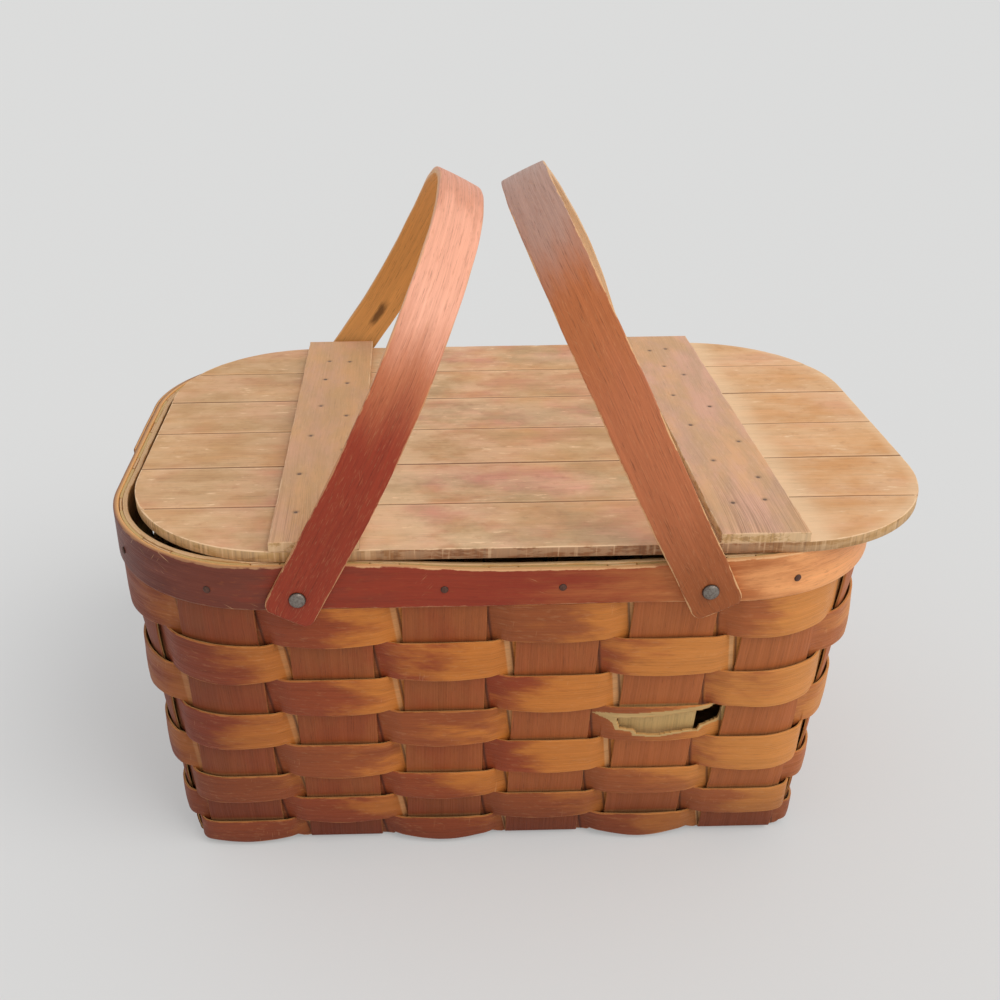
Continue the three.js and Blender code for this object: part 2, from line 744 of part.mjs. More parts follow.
// Battens, face down on the boards
function batten() {
  const x = battenWidth / 2;
  const top = battenThickness;
  const shape = new THREE.Shape([
    [-x, 0], [x, 0], [x, top - battenChamfer], [x - battenChamfer, top],
    [-x + battenChamfer, top], [-x, top - battenChamfer],
  ].map(([across, up]) => new THREE.Vector2(across, up)));
  const geometry = new THREE.ExtrudeGeometry(shape, { depth: lidDepth, bevelEnabled: false });
  geometry.rotateX(Math.PI / 2);
  geometry.translate(0, lidDepth / 2, boardThickness);
  return geometry;
}
for (const [side, sign] of [['left', -1], ['right', 1]]) {
  const piece = addPiece(lid, `lid_batten_${side}`, batten(), battenWood);
  piece.position.x = sign * battenSpacing / 2;
}

export default basket;
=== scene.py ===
"""Looks of a woven splint picnic basket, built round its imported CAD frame."""

import bpy
import numpy as np
from mathutils import Matrix, Vector


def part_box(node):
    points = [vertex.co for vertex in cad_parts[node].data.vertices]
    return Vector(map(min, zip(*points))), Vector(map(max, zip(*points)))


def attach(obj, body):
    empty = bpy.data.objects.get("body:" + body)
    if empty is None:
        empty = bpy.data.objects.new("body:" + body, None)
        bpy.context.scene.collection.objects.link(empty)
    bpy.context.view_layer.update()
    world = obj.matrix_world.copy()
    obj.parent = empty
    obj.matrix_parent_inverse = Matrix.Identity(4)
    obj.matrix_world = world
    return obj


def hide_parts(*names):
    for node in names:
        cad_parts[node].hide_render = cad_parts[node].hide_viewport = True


bl_info = {
    "name": "Woven Splint Picnic Basket",
    "version": (1, 0, 0),
    "blender": (4, 5, 0),
    "location": "View3D > Sidebar > Basket",
    "description": "Dresses a splint basket with a plank lid and two swinging handles",
    "category": "Add Mesh",
}

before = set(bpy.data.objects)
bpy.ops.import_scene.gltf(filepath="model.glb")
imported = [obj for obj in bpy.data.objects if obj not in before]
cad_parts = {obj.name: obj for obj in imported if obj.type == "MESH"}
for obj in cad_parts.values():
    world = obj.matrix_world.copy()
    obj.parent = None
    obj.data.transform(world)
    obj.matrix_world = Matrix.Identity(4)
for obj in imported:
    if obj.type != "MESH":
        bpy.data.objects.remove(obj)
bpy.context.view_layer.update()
rim_low, rim_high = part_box("outer_rim_band")
lid_low, lid_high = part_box("lid_board_front")
back_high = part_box("lid_board_back")[1]
basket_x = (rim_low[0] + rim_high[0]) / 2

# Rows and uprights. Each upright crosses the wall twice, and stops are counted once round the basket.
ROWS, CROSS, END = 8, 6, 5
STOPS = 2 * (CROSS + END)


def rgb(red, green, blue):
    """Linear colour of a display colour given as three numbers up to 255."""
    shown = np.array([red, green, blue]) / 255
    linear = np.where(shown <= 0.04045, shown / 12.92, ((shown + 0.055) / 1.055) ** 2.4)
    return tuple(float(part) for part in linear)


def length(name, description, default):
    return bpy.props.FloatProperty(
        name=name, description=description, default=default, unit="LENGTH", precision=4)


def colour(name, description, *shown):
    return bpy.props.FloatVectorProperty(
        name=name, description=description, default=rgb(*shown), subtype="COLOR", min=0.0, max=1.0,
    )


class BasketSizes(bpy.types.PropertyGroup):
    """Sizes of the woven body, its rim, the handles and the lid."""

    rim_length: length("Rim length", "Outside length of the rim", rim_high[0] - rim_low[0])
    rim_depth: length("Rim depth", "Outside depth of the rim", rim_high[1] - rim_low[1])
    rim_corner: length("Rim corner", "Outside radius of the rim's corners", 0.095)
    rim_bottom: length("Rim bottom", "Height of the rim's lower edge", rim_low[2])
    rim_top: length("Rim top", "Height of the rim's upper edge", rim_high[2])
    base_length: length("Base length", "Length of the base between its bends", 0.376)
    base_depth: length("Base depth", "Depth of the base between its bends", 0.224)
    base_corner: length("Base corner", "Radius of the base's corners", 0.009)
    base_bend: length("Base bend", "Height of the bend between wall and base", 0.005)
    splint: length("Splint thickness", "Thickness of uprights and weavers", 0.0015)
    gap: length("Gap", "Gap between pieces that touch", 0.0003)
    cross_width: length("Cross upright width", "Width of an upright on the long sides", 0.046)
    cross_pitch: length("Cross upright pitch", "Distance between uprights on the long sides", 0.0624)
    end_width: length("End upright width", "Width of an upright on the ends", 0.038)
    end_pitch_base: length("End pitch low", "Distance between end uprights at the base", 0.042)
    end_pitch_rim: length("End pitch high", "Distance between end uprights at the rim", 0.05428)
    narrow_row: length("Narrow row", "Height of each of the three lower rows", 0.0219)
    wide_row: length("Wide row", "Height of each of the five upper rows", 0.0276)
    row_gap: length("Row gap", "Gap between two rows", 0.0002)
    swell: length("Weaver swell", "How far a weaver swells out between its crossings", 0.0028)
    outer_band: length("Outer band", "Thickness of the outer rim band", 0.0032)
    inner_band: length("Inner band", "Thickness of the inner rim band", 0.003)
    rim_dip: length("Rim dip", "How far the rim sinks under the lid's front", 0.0044)
    handle_width: length("Handle width", "Width of the bent handle strips", 0.028)
    handle_thickness: length("Handle thickness", "Thickness of the bent handle strips", 0.0046)
    handle_leg: length("Handle leg", "Straight leg from the rivet to the bend", 0.0394)
    handle_tail: length("Handle tail", "How far the handle runs on below the rivet", 0.014)
    rivet_drop: length("Rivet drop", "Depth of the rivets below the rim's top", 0.017)
    pivot_offset: length("Pivot place", "Distance of the rivets from the basket's middle", 0.10829)
    lid_corner: length("Lid corner", "Radius of the lid's corners", 0.092)
    board: length("Board thickness", "Thickness of the lid's boards", 0.0064)


class BasketColours(bpy.types.PropertyGroup):
    """Colours of the stained, faded and bare wood and of the metal."""

    # Partly real stain, partly painted shade: laid on towards the basket's left end and the bottom of its
    # wall.
    dark_stain_and_shade: colour("Dark stain", "Purple-brown stain at the shaded end", 102, 43, 27)
    stain_red: colour("Red stain", "Deep red stain", 148, 54, 31)
    # Partly real stain, partly painted light: laid on towards the basket's lit right end.
    stain_brown: colour("Brown stain", "Red-brown stain", 156, 84, 42)
    pale_stain_and_light: colour("Pale stain", "Lighter stain at the sunny end", 184, 106, 56)
    rust: colour("Rust", "Warm red-brown of the weavers", 150, 62, 30)
    amber: colour("Amber", "Varnished pale wood", 204, 122, 50)
    honey: colour("Honey", "Pale wood gone golden", 216, 144, 74)
    worn: colour("Worn edge", "Pale wood at worn edges", 226, 176, 124)
    cream: colour("Fresh wood", "Wood laid bare by a break", 204, 170, 112)
    # Partly stain, partly painted shade at the rim's left end.
    plum: colour("Plum", "Stain of the rim towards its left end", 116, 56, 40)
    # Partly faded stain, partly painted light at the rim's lit right end.
    rim_tan: colour("Faded rim", "Stain of the rim faded to tan", 246, 170, 108)
    # Partly stain bleached by hands, partly a painted highlight on the left handle's upper part.
    salmon_and_highlight: colour("Salmon", "Handle stain bleached by hands", 246, 176, 146)
    orange: colour("Orange-brown", "Middle of the handles", 190, 110, 70)
    mauve: colour("Mauve-brown", "Crown of the right handle", 184, 144, 128)
    inner_amber: colour("Handle inside", "Inner face of the handles", 224, 164, 96)
    lid_tan: colour("Lid", "Faded wood of the lid", 216, 160, 112)
    lid_warm: colour("Lid, warm", "Orange-tan right end of the lid", 230, 176, 124)
    lid_gold: colour("Lid, golden", "Yellower left end of the lid", 206, 158, 106)
    lid_rose: colour("Lid, rose", "Pink patches of the lid", 216, 149, 128)
    lid_olive: colour("Lid, olive", "Grey-green patches of the lid", 178, 151, 112)
    lid_pale: colour("Lid, pale", "Chalky worn patches of the lid", 240, 204, 162)
    lid_brown: colour("Lid, brown", "Brown marks of the lid", 170, 112, 72)
    lid_edge: colour("Lid edge", "Sawn edge of the lid and the battens", 190, 148, 94)
    edge_brown: colour("Lid edge, brown", "Stained stretch of the lid's front edge", 138, 84, 50)
    batten: colour("Batten", "Greyer pink-brown wood of the battens", 228, 176, 128)
    batten_rose: colour("Batten, rose", "Pink patches of the battens", 222, 172, 144)
    # Used for dirt, and as painted shade where weavers tuck behind uprights and round the rims of metal
    # heads.
    dirt_and_shade: colour("Grime", "Dirt in corners and joints", 58, 34, 22)
    joint: colour("Joint", "Dark line of joints and scored lines", 104, 66, 44)
    steel: colour("Rivets", "Dull grey rivet metal", 136, 128, 120)
    iron: colour("Nails", "Dark nail metal", 92, 56, 42)
    old_nail: colour("Batten nails", "Grey-brown nails of the battens", 126, 102, 84)
    backdrop: colour("Backdrop", "Plain pale floor and background", 218, 218, 217)


# Meshes


def spread(rows, columns, start=0):
    """Corner numbers of the quads between neighbouring points of a grid of rows and columns."""
    index = np.arange(rows * columns).reshape(rows, columns) + start
    return index[:-1, :-1], index[:-1, 1:], index[1:, 1:], index[1:, :-1]


def volume(points, quads):
    """Signed volume inside closed quads: the sum of each triangle's share seen from the origin."""
    a, b, c, d = (points[quads[:, corner]] for corner in range(4))
    first = np.einsum("ij,ij->", a, np.cross(b, c))
    return (first + np.einsum("ij,ij->", a, np.cross(c, d))) / 6


def new_piece(name, points, quads, flat, values):
    """Puts points and quads into a mesh with its point values, and leaves out points that no quad uses."""
    if volume(points, quads) < 0:
        quads = quads[:, ::-1]
    used, renumbered = np.unique(quads, return_inverse=True)
    points = points[used]
    quads = renumbered.reshape(-1, 4)
    mesh = bpy.data.meshes.new(name)
    mesh.from_pydata(points, [], quads)
    mesh.polygons.foreach_set("use_smooth", ~flat)
    for label, value in values.items():
        value = value[used].astype(np.float32)
        kind = "FLOAT_VECTOR" if value.ndim == 2 else "FLOAT"
        layer = mesh.attributes.new(label, kind, "POINT")
        layer.data.foreach_set("vector" if value.ndim == 2 else "value", value.ravel())
    mesh.validate()
    piece = bpy.data.objects.new(name, mesh)
    bpy.context.scene.collection.objects.link(piece)
    return piece


def shell(name, outer, inner, values, keep=None):
    """A closed sheet between two faces of points, each a grid of sections by lines.

    Cells where keep is false are left open, and a wall joins the faces along every edge between
    a kept cell and an open one or the outside.
    """
    rows, columns = outer.shape[:2]
    if keep is None:
        keep = np.ones((rows - 1, columns - 1), bool)
    front = spread(rows, columns)
    back = spread(rows, columns, rows * columns)
    a, b, c, d = (corner[keep] for corner in front)
    e, f, g, h = (corner[keep] for corner in back)
    quads = [np.stack([a, b, c, d], 1), np.stack([e, h, g, f], 1)]
    flat = [np.zeros(2 * len(a), bool)]
    padded = np.pad(keep, 1)
    kept = padded[1:-1, 1:-1]
    sides = [
        (padded[1:-1, 2:], 1, 2, False),
        (padded[1:-1, :-2], 3, 0, False),
        (padded[2:, 1:-1], 2, 3, True),
        (padded[:-2, 1:-1], 0, 1, True),
    ]
    for beyond, start, end, is_end in sides:
        edge = kept & ~beyond
        quads.append(np.stack([front[end][edge], front[start][edge], back[start][edge], back[end][edge]], 1))
        inside = edge.copy()
        inside[:, [0, -1]] = is_end
        flat.append(inside[edge])
    points = np.concatenate([outer.reshape(-1, 3), inner.reshape(-1, 3)])
    joined = {}
    for label, value in values.items():
        faces = value if isinstance(value, tuple) else (value, value)
        width = np.shape(faces[0])[2:]
        joined[label] = np.concatenate(
            [np.broadcast_to(face, (rows, columns) + width).reshape((-1,) + width) for face in faces])
    return new_piece(name, points, np.concatenate(quads), np.concatenate(flat), joined)


def wood_values(along, across, seed, edge, tone=0.0, tint=0.0, bare=0.0, shift=0.4, step=1.0):
    """Point values of a wooden piece. Its inner face has a grain of its own, and is bare throughout."""
    return {
        "grain": (join(along, across, seed), join(along, across + shift, seed + step)),
        "edge": edge,
        "tone": tone,
        "tint": tint,
        "bare": (bare, 1.0),
    }


def with_edges(steps, width, count):
    """Places from 0 to width: the given steps in from both edges, and even places between them."""
    between = np.linspace(steps[-1], width - steps[-1], count)[1:-1]
    return np.concatenate([steps, between, width - steps[::-1]])


def lines_across(width, radius, count):
    """Places across a strip from -width/2 to width/2, close together where its edges are rounded."""
    return with_edges(radius * np.array([0.0, 0.12, 0.4, 0.75, 1.2]), width, count) - width / 2


def edge_distance(across, width):
    return width / 2 - np.abs(across)


def rounding(distance, radius, least=0.35):
    """Share of the thickness left at a distance from an edge: a quarter circle from the least share up."""
    near = np.clip(1 - distance / radius, 0, 1)
    return least + (1 - least) * np.sqrt(np.clip(1 - near ** 2, 0, 1))


def sunk_edge(distance, radius):
    """How far a face rounded by a radius lies under its level at a distance from its edge."""
    return radius * (1 - rounding(distance, radius, 0.0))


def wander(along, seed, wave, amount):
    """A smooth irregular line: the sum of four sine waves, each shorter and weaker, with seeded phases."""
    phases = np.random.default_rng(seed).uniform(0, 2 * np.pi, 4)
    line = np.zeros_like(along, dtype=float)
    for step, phase in enumerate(phases):
        line = line + np.sin(along * 2 * np.pi * 1.7 ** step / wave + phase) / (step + 1.4)
    return line * amount / 1.6


def soft(share):
    """Smooth step from 0 to 1."""
    share = np.clip(share, 0, 1)
    return share * share * (3 - 2 * share)


def join(*parts):
    """Stacks values of one shape as the parts of a vector."""
    return np.stack(np.broadcast_arrays(*parts), -1)


# The woven wall


class Wall:
    """The wall's middle surface, and where each upright crosses it, counted from the front's middle."""

    def __init__(self, sizes):
        self.sizes = sizes
        self.seat = sizes.splint / 2 + sizes.gap
        self.face = self.seat + sizes.outer_band
        self.rim = np.array([sizes.rim_length / 2, sizes.rim_depth / 2, sizes.rim_corner]) - self.face
        self.base = np.array([sizes.base_length / 2, sizes.base_depth / 2, sizes.base_corner])
        steps = [0.0] + [sizes.narrow_row] * 3 + [sizes.wide_row] * 5
        self.edges = np.cumsum(steps)
        places = [np.arange(count) - (count - 1) / 2 for count in (CROSS, END)]
        self.place = np.tile(np.concatenate(places), 2)
        self.is_end = np.tile([False] * CROSS + [True] * END, 2)
        self.quarters = np.repeat(np.arange(4), [CROSS, END, CROSS, END])
        self.width = np.where(self.is_end, sizes.end_width, sizes.cross_width)

    def share(self, height):
        return np.clip(np.asarray(height) / self.sizes.rim_bottom, 0, 1)

    def outline(self, height):
        """Half length, half depth and corner radius at a height, in a straight line from base to rim."""
        share = self.share(height)
        return [low + (high - low) * share for low, high in zip(self.base, self.rim)]

    def quarter(self, height):
        """Length of the outline from the middle of one side to the middle of the next."""
        half_length, half_depth, radius = self.outline(height)
        return half_length + half_depth - radius * (2 - np.pi / 2)

    def stop(self, k, height):
        """Distance along the outline to the middle of upright k at a height."""
        sizes = self.sizes
        share = self.share(height)
        end_pitch = sizes.end_pitch_base + (sizes.end_pitch_rim - sizes.end_pitch_base) * share
        pitch = np.where(self.is_end[k], end_pitch, sizes.cross_pitch)
        return self.quarters[k] * self.quarter(height) + self.place[k] * pitch

    def at(self, distance, height):
        """Points and outward directions at distances along the rounded outline at heights.

        Each quarter of the outline is a straight, an arc and a straight, mirrored from the first one.
        """
        distance, height = np.broadcast_arrays(np.asarray(distance, float), np.asarray(height, float))
        half_length, half_depth, radius = self.outline(height)
        quarter = self.quarter(height)
        turn = np.mod(distance, quarter * 4)
        quadrant = np.minimum(np.floor(turn / quarter), 3)
        walked = turn - quadrant * quarter
        reach = np.where(quadrant % 2 == 0, walked, quarter - walked)
        straight = half_length - radius
        arc = radius * np.pi / 2
        angle = np.clip((reach - straight) / radius, 0, np.pi / 2)
        x = np.where(reach < straight, reach, straight + radius * np.sin(angle))
        y = half_depth - radius + radius * np.cos(angle)
        y = np.where(reach > straight + arc, half_depth - radius - (reach - straight - arc), y)
        side_x = np.where(quadrant < 2, 1, -1)
        side_y = np.where((quadrant == 0) | (quadrant == 3), -1, 1)
        points = join(x * side_x + basket_x, y * side_y, height)
        outward = join(np.sin(angle) * side_x, np.cos(angle) * side_y, np.zeros_like(angle))
        return points, outward

    def push(self, k, height):
        """How weavers bend an upright: inwards where one passes outside it, outwards between."""
        total = np.zeros_like(height)
        for row in range(ROWS):
            low, high = self.edges[ROWS - 1 - row], self.edges[ROWS - row]
            away = np.abs(height - (low + high) / 2) / (high - low)
            passes = 1 if (k + row) % 2 == 1 else -1
            total = total - passes * np.cos(np.pi / 2 * np.clip(away, 0, 1)) ** 2
        return total * soft((self.sizes.rim_bottom - height) / 0.008) * soft(height / 0.012)

    def covered(self, k, height):
        """1 where a weaver hides an upright from outside, else 0."""
        row = ROWS - np.searchsorted(self.edges, height, side="right")
        under_tear = (k == TORN_STOP) & (row == TORN_ROW)
        hidden = ((k + row) % 2 == 1) & (height < self.edges[-1])
        return np.where(hidden, np.where(under_tear, 1.0, 0.25), 0.0)


def hermite(share, gap, start, start_slope, end, end_slope):
    """Cubic from start to end over a gap, with the given slopes at both ends."""
    square, cube = share ** 2, share ** 3
    first = (2 * cube - 3 * square + 1) * start + (cube - 2 * square + share) * gap * start_slope
    return first + (3 * square - 2 * cube) * end + (cube - square) * gap * end_slope


# The hole in the torn row and the peel round it, in shares of an upright's pitch and of the row's height.
TORN_ROW, TORN_STOP = 3, 4
TEAR = np.array([
    (-0.38, 0.60), (-0.35, 0.38), (-0.21, 0.34), (-0.19, 0.22), (0, 0.19), (0.14, 0.25), (0.28, 0.28),
    (0.39, 0.27), (0.41, 0.4), (0.5, 0.42), (0.59, 0.46), (0.61, 0.94), (0.5, 0.91), (0.33, 0.85),
    (0.1, 0.78), (-0.12, 0.72), (-0.38, 0.68),
])
PEEL = np.array([
    (-0.62, 0.74), (-0.46, 0.60), (-0.42, 0.52), (-0.39, 0.33), (-0.24, 0.29), (-0.22, 0.17), (0.0, 0.13),
    (0.15, 0.19), (0.29, 0.23), (0.41, 0.22), (0.45, 0.34), (0.66, 0.4), (0.66, 1.0), (0.4, 1.0),
    (0.1, 0.9), (-0.2, 0.84), (-0.45, 0.82),
])


def inside(outline, x, y):
    """Whether points lie in an outline: each edge that a ray to the right crosses turns the answer over."""
    result = np.zeros(np.shape(x), bool)
    for (x1, y1), (x2, y2) in zip(outline, np.roll(outline, -1, axis=0)):
        spans = (y1 > y) != (y2 > y)
        cross = x1 + (y - y1) * (x2 - x1) / (y2 - y1 + 1e-12)
        result ^= spans & (x < cross)
    return result


def near_outline(outline, x, y):
    """Least distance from points to an outline's edges."""
    least = np.full(np.shape(x), 1.0)
    for (x1, y1), (x2, y2) in zip(outline, np.roll(outline, -1, axis=0)):
        along = ((x - x1) * (x2 - x1) + (y - y1) * (y2 - y1)) / ((x2 - x1) ** 2 + (y2 - y1) ** 2)
        along = np.clip(along, 0, 1)
        least = np.minimum(least, np.hypot(x - x1 - along * (x2 - x1), y - y1 - along * (y2 - y1)))
    return least


def weaver_columns(fine):
    """For each column of a row: the uprights before and after, the place over one, the share of the gap."""
    columns = []
    for turn in range(STOPS + 1):
        over = np.linspace(-0.5, 0.5, 57 if fine[turn] else 15)
        between = np.linspace(0, 1, 33 if fine[turn] else 9)[1:-1]
        columns.append(join(turn, turn, over, 0.0))
        if turn < STOPS:
            columns.append(join(turn, turn + 1, 0.5, between))
    before, after, share, blend = np.concatenate(columns).T
    return before.astype(int), after.astype(int), share[:, None], blend[:, None]


def weaver(wall, row):
    """One woven row: its middle line is an arch over each upright, and a cubic takes it across each gap."""
    sizes = wall.sizes
    rng = np.random.default_rng(40 + row)
    torn, lowest = row == TORN_ROW, row == ROWS - 1
    lower = (sizes.base_bend if lowest else wall.edges[ROWS - 1 - row]) + sizes.row_gap / 2
    upper = wall.edges[ROWS - row] - sizes.row_gap / 2
    lap = 14 if (14 + row) % 2 == 0 else 13
    turns = np.arange(STOPS + 1)
    k = (lap + turns) % STOPS
    laps = (lap + turns) // STOPS
    sign = np.where((k + row) % 2 == 1, 1.0, -1.0)
    is_lap = turns % STOPS == 0
    weave = sizes.splint + sizes.gap + 0.0001
    shift = weave * sign - np.where(turns == 0, sizes.splint + sizes.gap, 0)
    swell = sizes.swell * rng.uniform(0.82, 1.2, STOPS + 1)
    if lowest:
        swell = swell * 1.3
    swell = np.where(sign > 0, swell, sizes.swell * 0.36) * np.where(is_lap, 0, 1)
    margin = 0.001
    span = wall.width[k] + 2 * margin
    edge_radius = 0.0005
    here, there, share_here, blend = weaver_columns(torn & (np.abs(k - TORN_STOP) <= 1))
    in_gap = blend > 0
    outside = sign[here][:, None] > 0
    across = lines_across(upper - lower, edge_radius, 44 if torn else 14)
    up = across / (upper - lower) + 0.5
    arch = np.cos(np.pi * share_here)
    sag_amount = np.where(sign > 0, rng.uniform(0.0, 0.0008, STOPS + 1), 0)
    if lowest:
        sag_amount = np.where(sign > 0, rng.uniform(0.001, 0.0024, STOPS + 1), 0)
    height = lower + (upper - lower) * up - np.where(in_gap, 0, sag_amount[here][:, None] * arch * (1 - up))

    def distance_at(turn, share, level):
        base = wall.stop(k[turn][:, None], level) + share * span[turn][:, None]
        return base + laps[turn][:, None] * 4 * wall.quarter(level)

    here_distance = distance_at(here, share_here, height)
    there_distance = distance_at(there, np.full_like(share_here, -0.5), height)
    distance = here_distance + (there_distance - here_distance) * blend
    gap = there_distance - here_distance
    low_share = np.where(sign > 0, rng.uniform(0.95, 1.2, STOPS + 1), 1)
    top_share = np.where(sign > 0, rng.uniform(0.2, 0.42, STOPS + 1), 1)
    if row == 0:
        top_share = np.where(sign > 0, 0.2, 1)
    crown = 1 + 0.22 * np.sin(np.pi * up)
    rest = 0.34

    def bulge(turn):
        amount = swell * sign
        mix = low_share[turn][:, None] * (1 - up) + top_share[turn][:, None] * up
        return amount[turn][:, None] * mix * crown

    on_stop = shift[here][:, None] + bulge(here) * (rest + (1 - rest) * arch)
    slope = np.pi / span * (1 - rest)
    crossing = hermite(
        blend, np.maximum(gap, margin),
        shift[here][:, None] + bulge(here) * rest, -bulge(here) * slope[here][:, None],
        shift[there][:, None] + bulge(there) * rest, bulge(there) * slope[there][:, None],
    )
    offset = np.where(in_gap, crossing, on_stop)
    middle = distance[:, len(across) // 2]
    ragged = join(wander(middle, row * 7 + 1, 0.05, 0.00014), wander(middle, row * 7 + 2, 0.07, 0.00014))
    height = height + ragged[:, :1] * (1 - up) + ragged[:, 1:] * up
    behind = soft((-offset - 0.0001) / 0.0009) * 0.0032
    height = height + behind * (2 * up - 1)
    height = np.clip(height, 0.0004, sizes.rim_bottom + 0.001)
    offset = offset + wander(middle, row * 7 + 3, 0.11, 0.00018)[:, None]
    points, outward = wall.at(distance, height)
    edge = edge_distance(across, upper - lower)
    half = (sizes.splint / 2 * rounding(edge, edge_radius))[None, :, None]
    points = points + outward * offset[..., None]
    # Place along each span, which the weavers' material paints lighter to the right, partly as painted light,
    # and darker at its ends as painted shade.
    in_span = np.where(outside, 1.24 * share_here, -2 * share_here)
    tone = np.where(in_gap, np.where(outside, 0.62, -1) + 0.38 * blend, in_span)
    owner = np.where(in_gap & ~outside, there[:, None], here[:, None])
    tint = rng.uniform(0, 1, STOPS + 1)[owner]
    seed = row * 3.7 + owner * 0.31
    bare = np.where(outside | in_gap, 0.0, 0.85 * soft((0.46 - np.abs(share_here)) / 0.1))
    keep = None
    peeled = np.zeros_like(distance)
    if torn:
        scale = np.array([sizes.cross_pitch, upper - lower])
        place = np.array([1.5 * sizes.cross_pitch, lower])
        wrapped = distance - 4 * wall.quarter(height) * (distance > 4 * wall.quarter(height) - 0.25)
        centre = (wrapped[:-1, :-1] + wrapped[1:, 1:]) / 2
        level = (height[:-1, :-1] + height[1:, 1:]) / 2
        keep = ~inside(TEAR * scale + place, centre, level)
        peeled = inside(PEEL * scale + place, wrapped, height) * 1.0
        edge = np.minimum(edge[None, :], near_outline(TEAR * scale + place, wrapped, height))
    values = wood_values(distance, height, seed, edge, tone, tint, np.maximum(bare, peeled * 0.9))
    piece = shell(f"woven_row_{row + 1}", points + outward * half, points - outward * half, values, keep)
    dress(piece, "Weaver Splint", "weaver_splint", "basket_body", f"weaver_row_{row + 1}")


def upright_wall(wall, k, levels, across, reverse):
    """Middle points, outward directions and cover of one upright on the wall."""
    height = np.broadcast_to(levels[:, None], (len(levels), len(across)))
    distance = wall.stop(k, height) + across * (-1 if reverse else 1)
    points, outward = wall.at(distance, height)
    points = points + outward * (wall.push(k, height) * 0.00045)[..., None]
    above = np.clip((height - wall.sizes.rim_bottom) / (wall.sizes.rim_top - wall.sizes.rim_bottom), 0, 1)
    points[..., 2] -= (dip_at(wall.sizes, points[..., 0], points[..., 1]) + 0.0003) * above
    top = soft((height - wall.sizes.rim_top + 0.0022) / 0.0008)
    return points, outward, np.maximum(wall.covered(k, height), top)


def bend_to_base(start, outward, inward, reach, layer):
    """A quadratic curve from the wall's foot down to a layer of the base, its side turned down."""
    steps = np.linspace(0, 1, 9)[1:, None, None]
    end = start + inward * reach
    end[..., 2] = layer
    corner = start.copy()
    corner[..., 2] = layer
    points = start * (1 - steps) ** 2 + corner * 2 * steps * (1 - steps) + end * steps ** 2
    side = outward * (1 - steps) + np.array([0, 0, -1.0]) * steps
    return points, side / np.linalg.norm(side, axis=-1, keepdims=True)


def upright(wall, kind, number, near, far, inward, flat_points, width, across, seed):
    """Joins wall, bend, base, bend and wall of one upright into a strip with rounded edges."""
    sizes = wall.sizes
    near_points, near_out, near_cover = near
    far_points, far_out, far_cover = far
    layer_near, layer_far = flat_points[0, 0, 2], flat_points[-1, 0, 2]
    bend_near, side_near = bend_to_base(near_points[-1], near_out[-1], inward, sizes.base_bend, layer_near)
    bend_far, side_far = bend_to_base(far_points[-1], far_out[-1], -inward, sizes.base_bend, layer_far)
    down = np.broadcast_to(np.array([0, 0, -1.0]), flat_points.shape)
    points = np.concatenate([near_points, bend_near, flat_points, bend_far[::-1], far_points[::-1]])
    side = np.concatenate([near_out, side_near, down, side_far[::-1], far_out[::-1]])
    hidden = np.zeros((len(points), len(across)))
    hidden[:len(near_cover)] = near_cover
    hidden[-len(far_cover):] = far_cover[::-1]
    middle = points[:, len(across) // 2]
    along = np.concatenate([[0], np.cumsum(np.linalg.norm(np.diff(middle, axis=0), axis=1))])[:, None]
    edge = edge_distance(across, width)
    half = (sizes.splint / 2 * rounding(edge, 0.0006))[None, :, None]
    values = wood_values(along, across, seed * 1.3, edge, bare=hidden)
    piece = shell(f"upright_{kind}_{number}", points + side * half, points - side * half, values)
    dress(piece, "Upright Splint", "upright_splint", "basket_body", f"{kind}_upright_{number}")


def wall_levels(wall):
    sizes = wall.sizes
    return np.concatenate([np.linspace(sizes.rim_top - 0.0002, sizes.rim_bottom, 5),
                           np.linspace(sizes.rim_bottom, sizes.base_bend, 74)[1:]])


def cross_upright(wall, i):
    """An upright that runs down the back, straight under the base and up the front."""
    sizes = wall.sizes
    across = lines_across(sizes.cross_width, 0.0006, 9)
    levels = wall_levels(wall)
    back = upright_wall(wall, 2 * CROSS + END - 1 - i, levels, across, True)
    front = upright_wall(wall, i, levels, across, False)
    layer = sizes.splint * 1.5 + sizes.gap
    inward = np.array([0, -1.0, 0])
    start = back[0][-1] + inward * sizes.base_bend
    end = front[0][-1] - inward * sizes.base_bend
    steps = np.linspace(0, 1, 20)[1:-1, None, None]
    flat_points = start * (1 - steps) + end * steps
    flat_points[..., 2] = layer
    upright(wall, "cross", i + 1, back, front, inward, flat_points, sizes.cross_width, across, 60 + i)


def end_upright(wall, j):
    """An upright that runs down the left end, weaves through the base and climbs the right end."""
    sizes = wall.sizes
    across = lines_across(sizes.end_width, 0.0006, 9)
    levels = wall_levels(wall)
    left = upright_wall(wall, STOPS - 1 - j, levels, across, True)
    right = upright_wall(wall, CROSS + j, levels, across, False)
    step = sizes.splint + sizes.gap
    low = sizes.splint / 2
    layers = np.array([low if (i + j) % 2 == 0 else low + 2 * step for i in range(CROSS)])
    centres = wall.place[:CROSS] * sizes.cross_pitch
    half = sizes.cross_width / 2 + 0.001
    knots = (centres[:, None] + np.array([-half, half])).ravel()
    reach = sizes.base_length / 2 - sizes.base_bend - 0.002
    x = np.linspace(-reach, reach, 120)
    number = np.interp(x, knots, np.repeat(np.arange(float(CROSS)), 2))
    whole = np.minimum(np.floor(number).astype(int), CROSS - 2)
    height = layers[whole] + (layers[whole + 1] - layers[whole]) * soft(number - whole)
    y = wall.place[CROSS + j] * sizes.end_pitch_base + across
    flat_points = join(x[:, None] + basket_x, y[None, :], height[:, None])
    inward = np.array([1.0, 0, 0])
    upright(wall, "end", j + 1, left, right, inward, flat_points, sizes.end_width, across, 70 + j)


# Rim


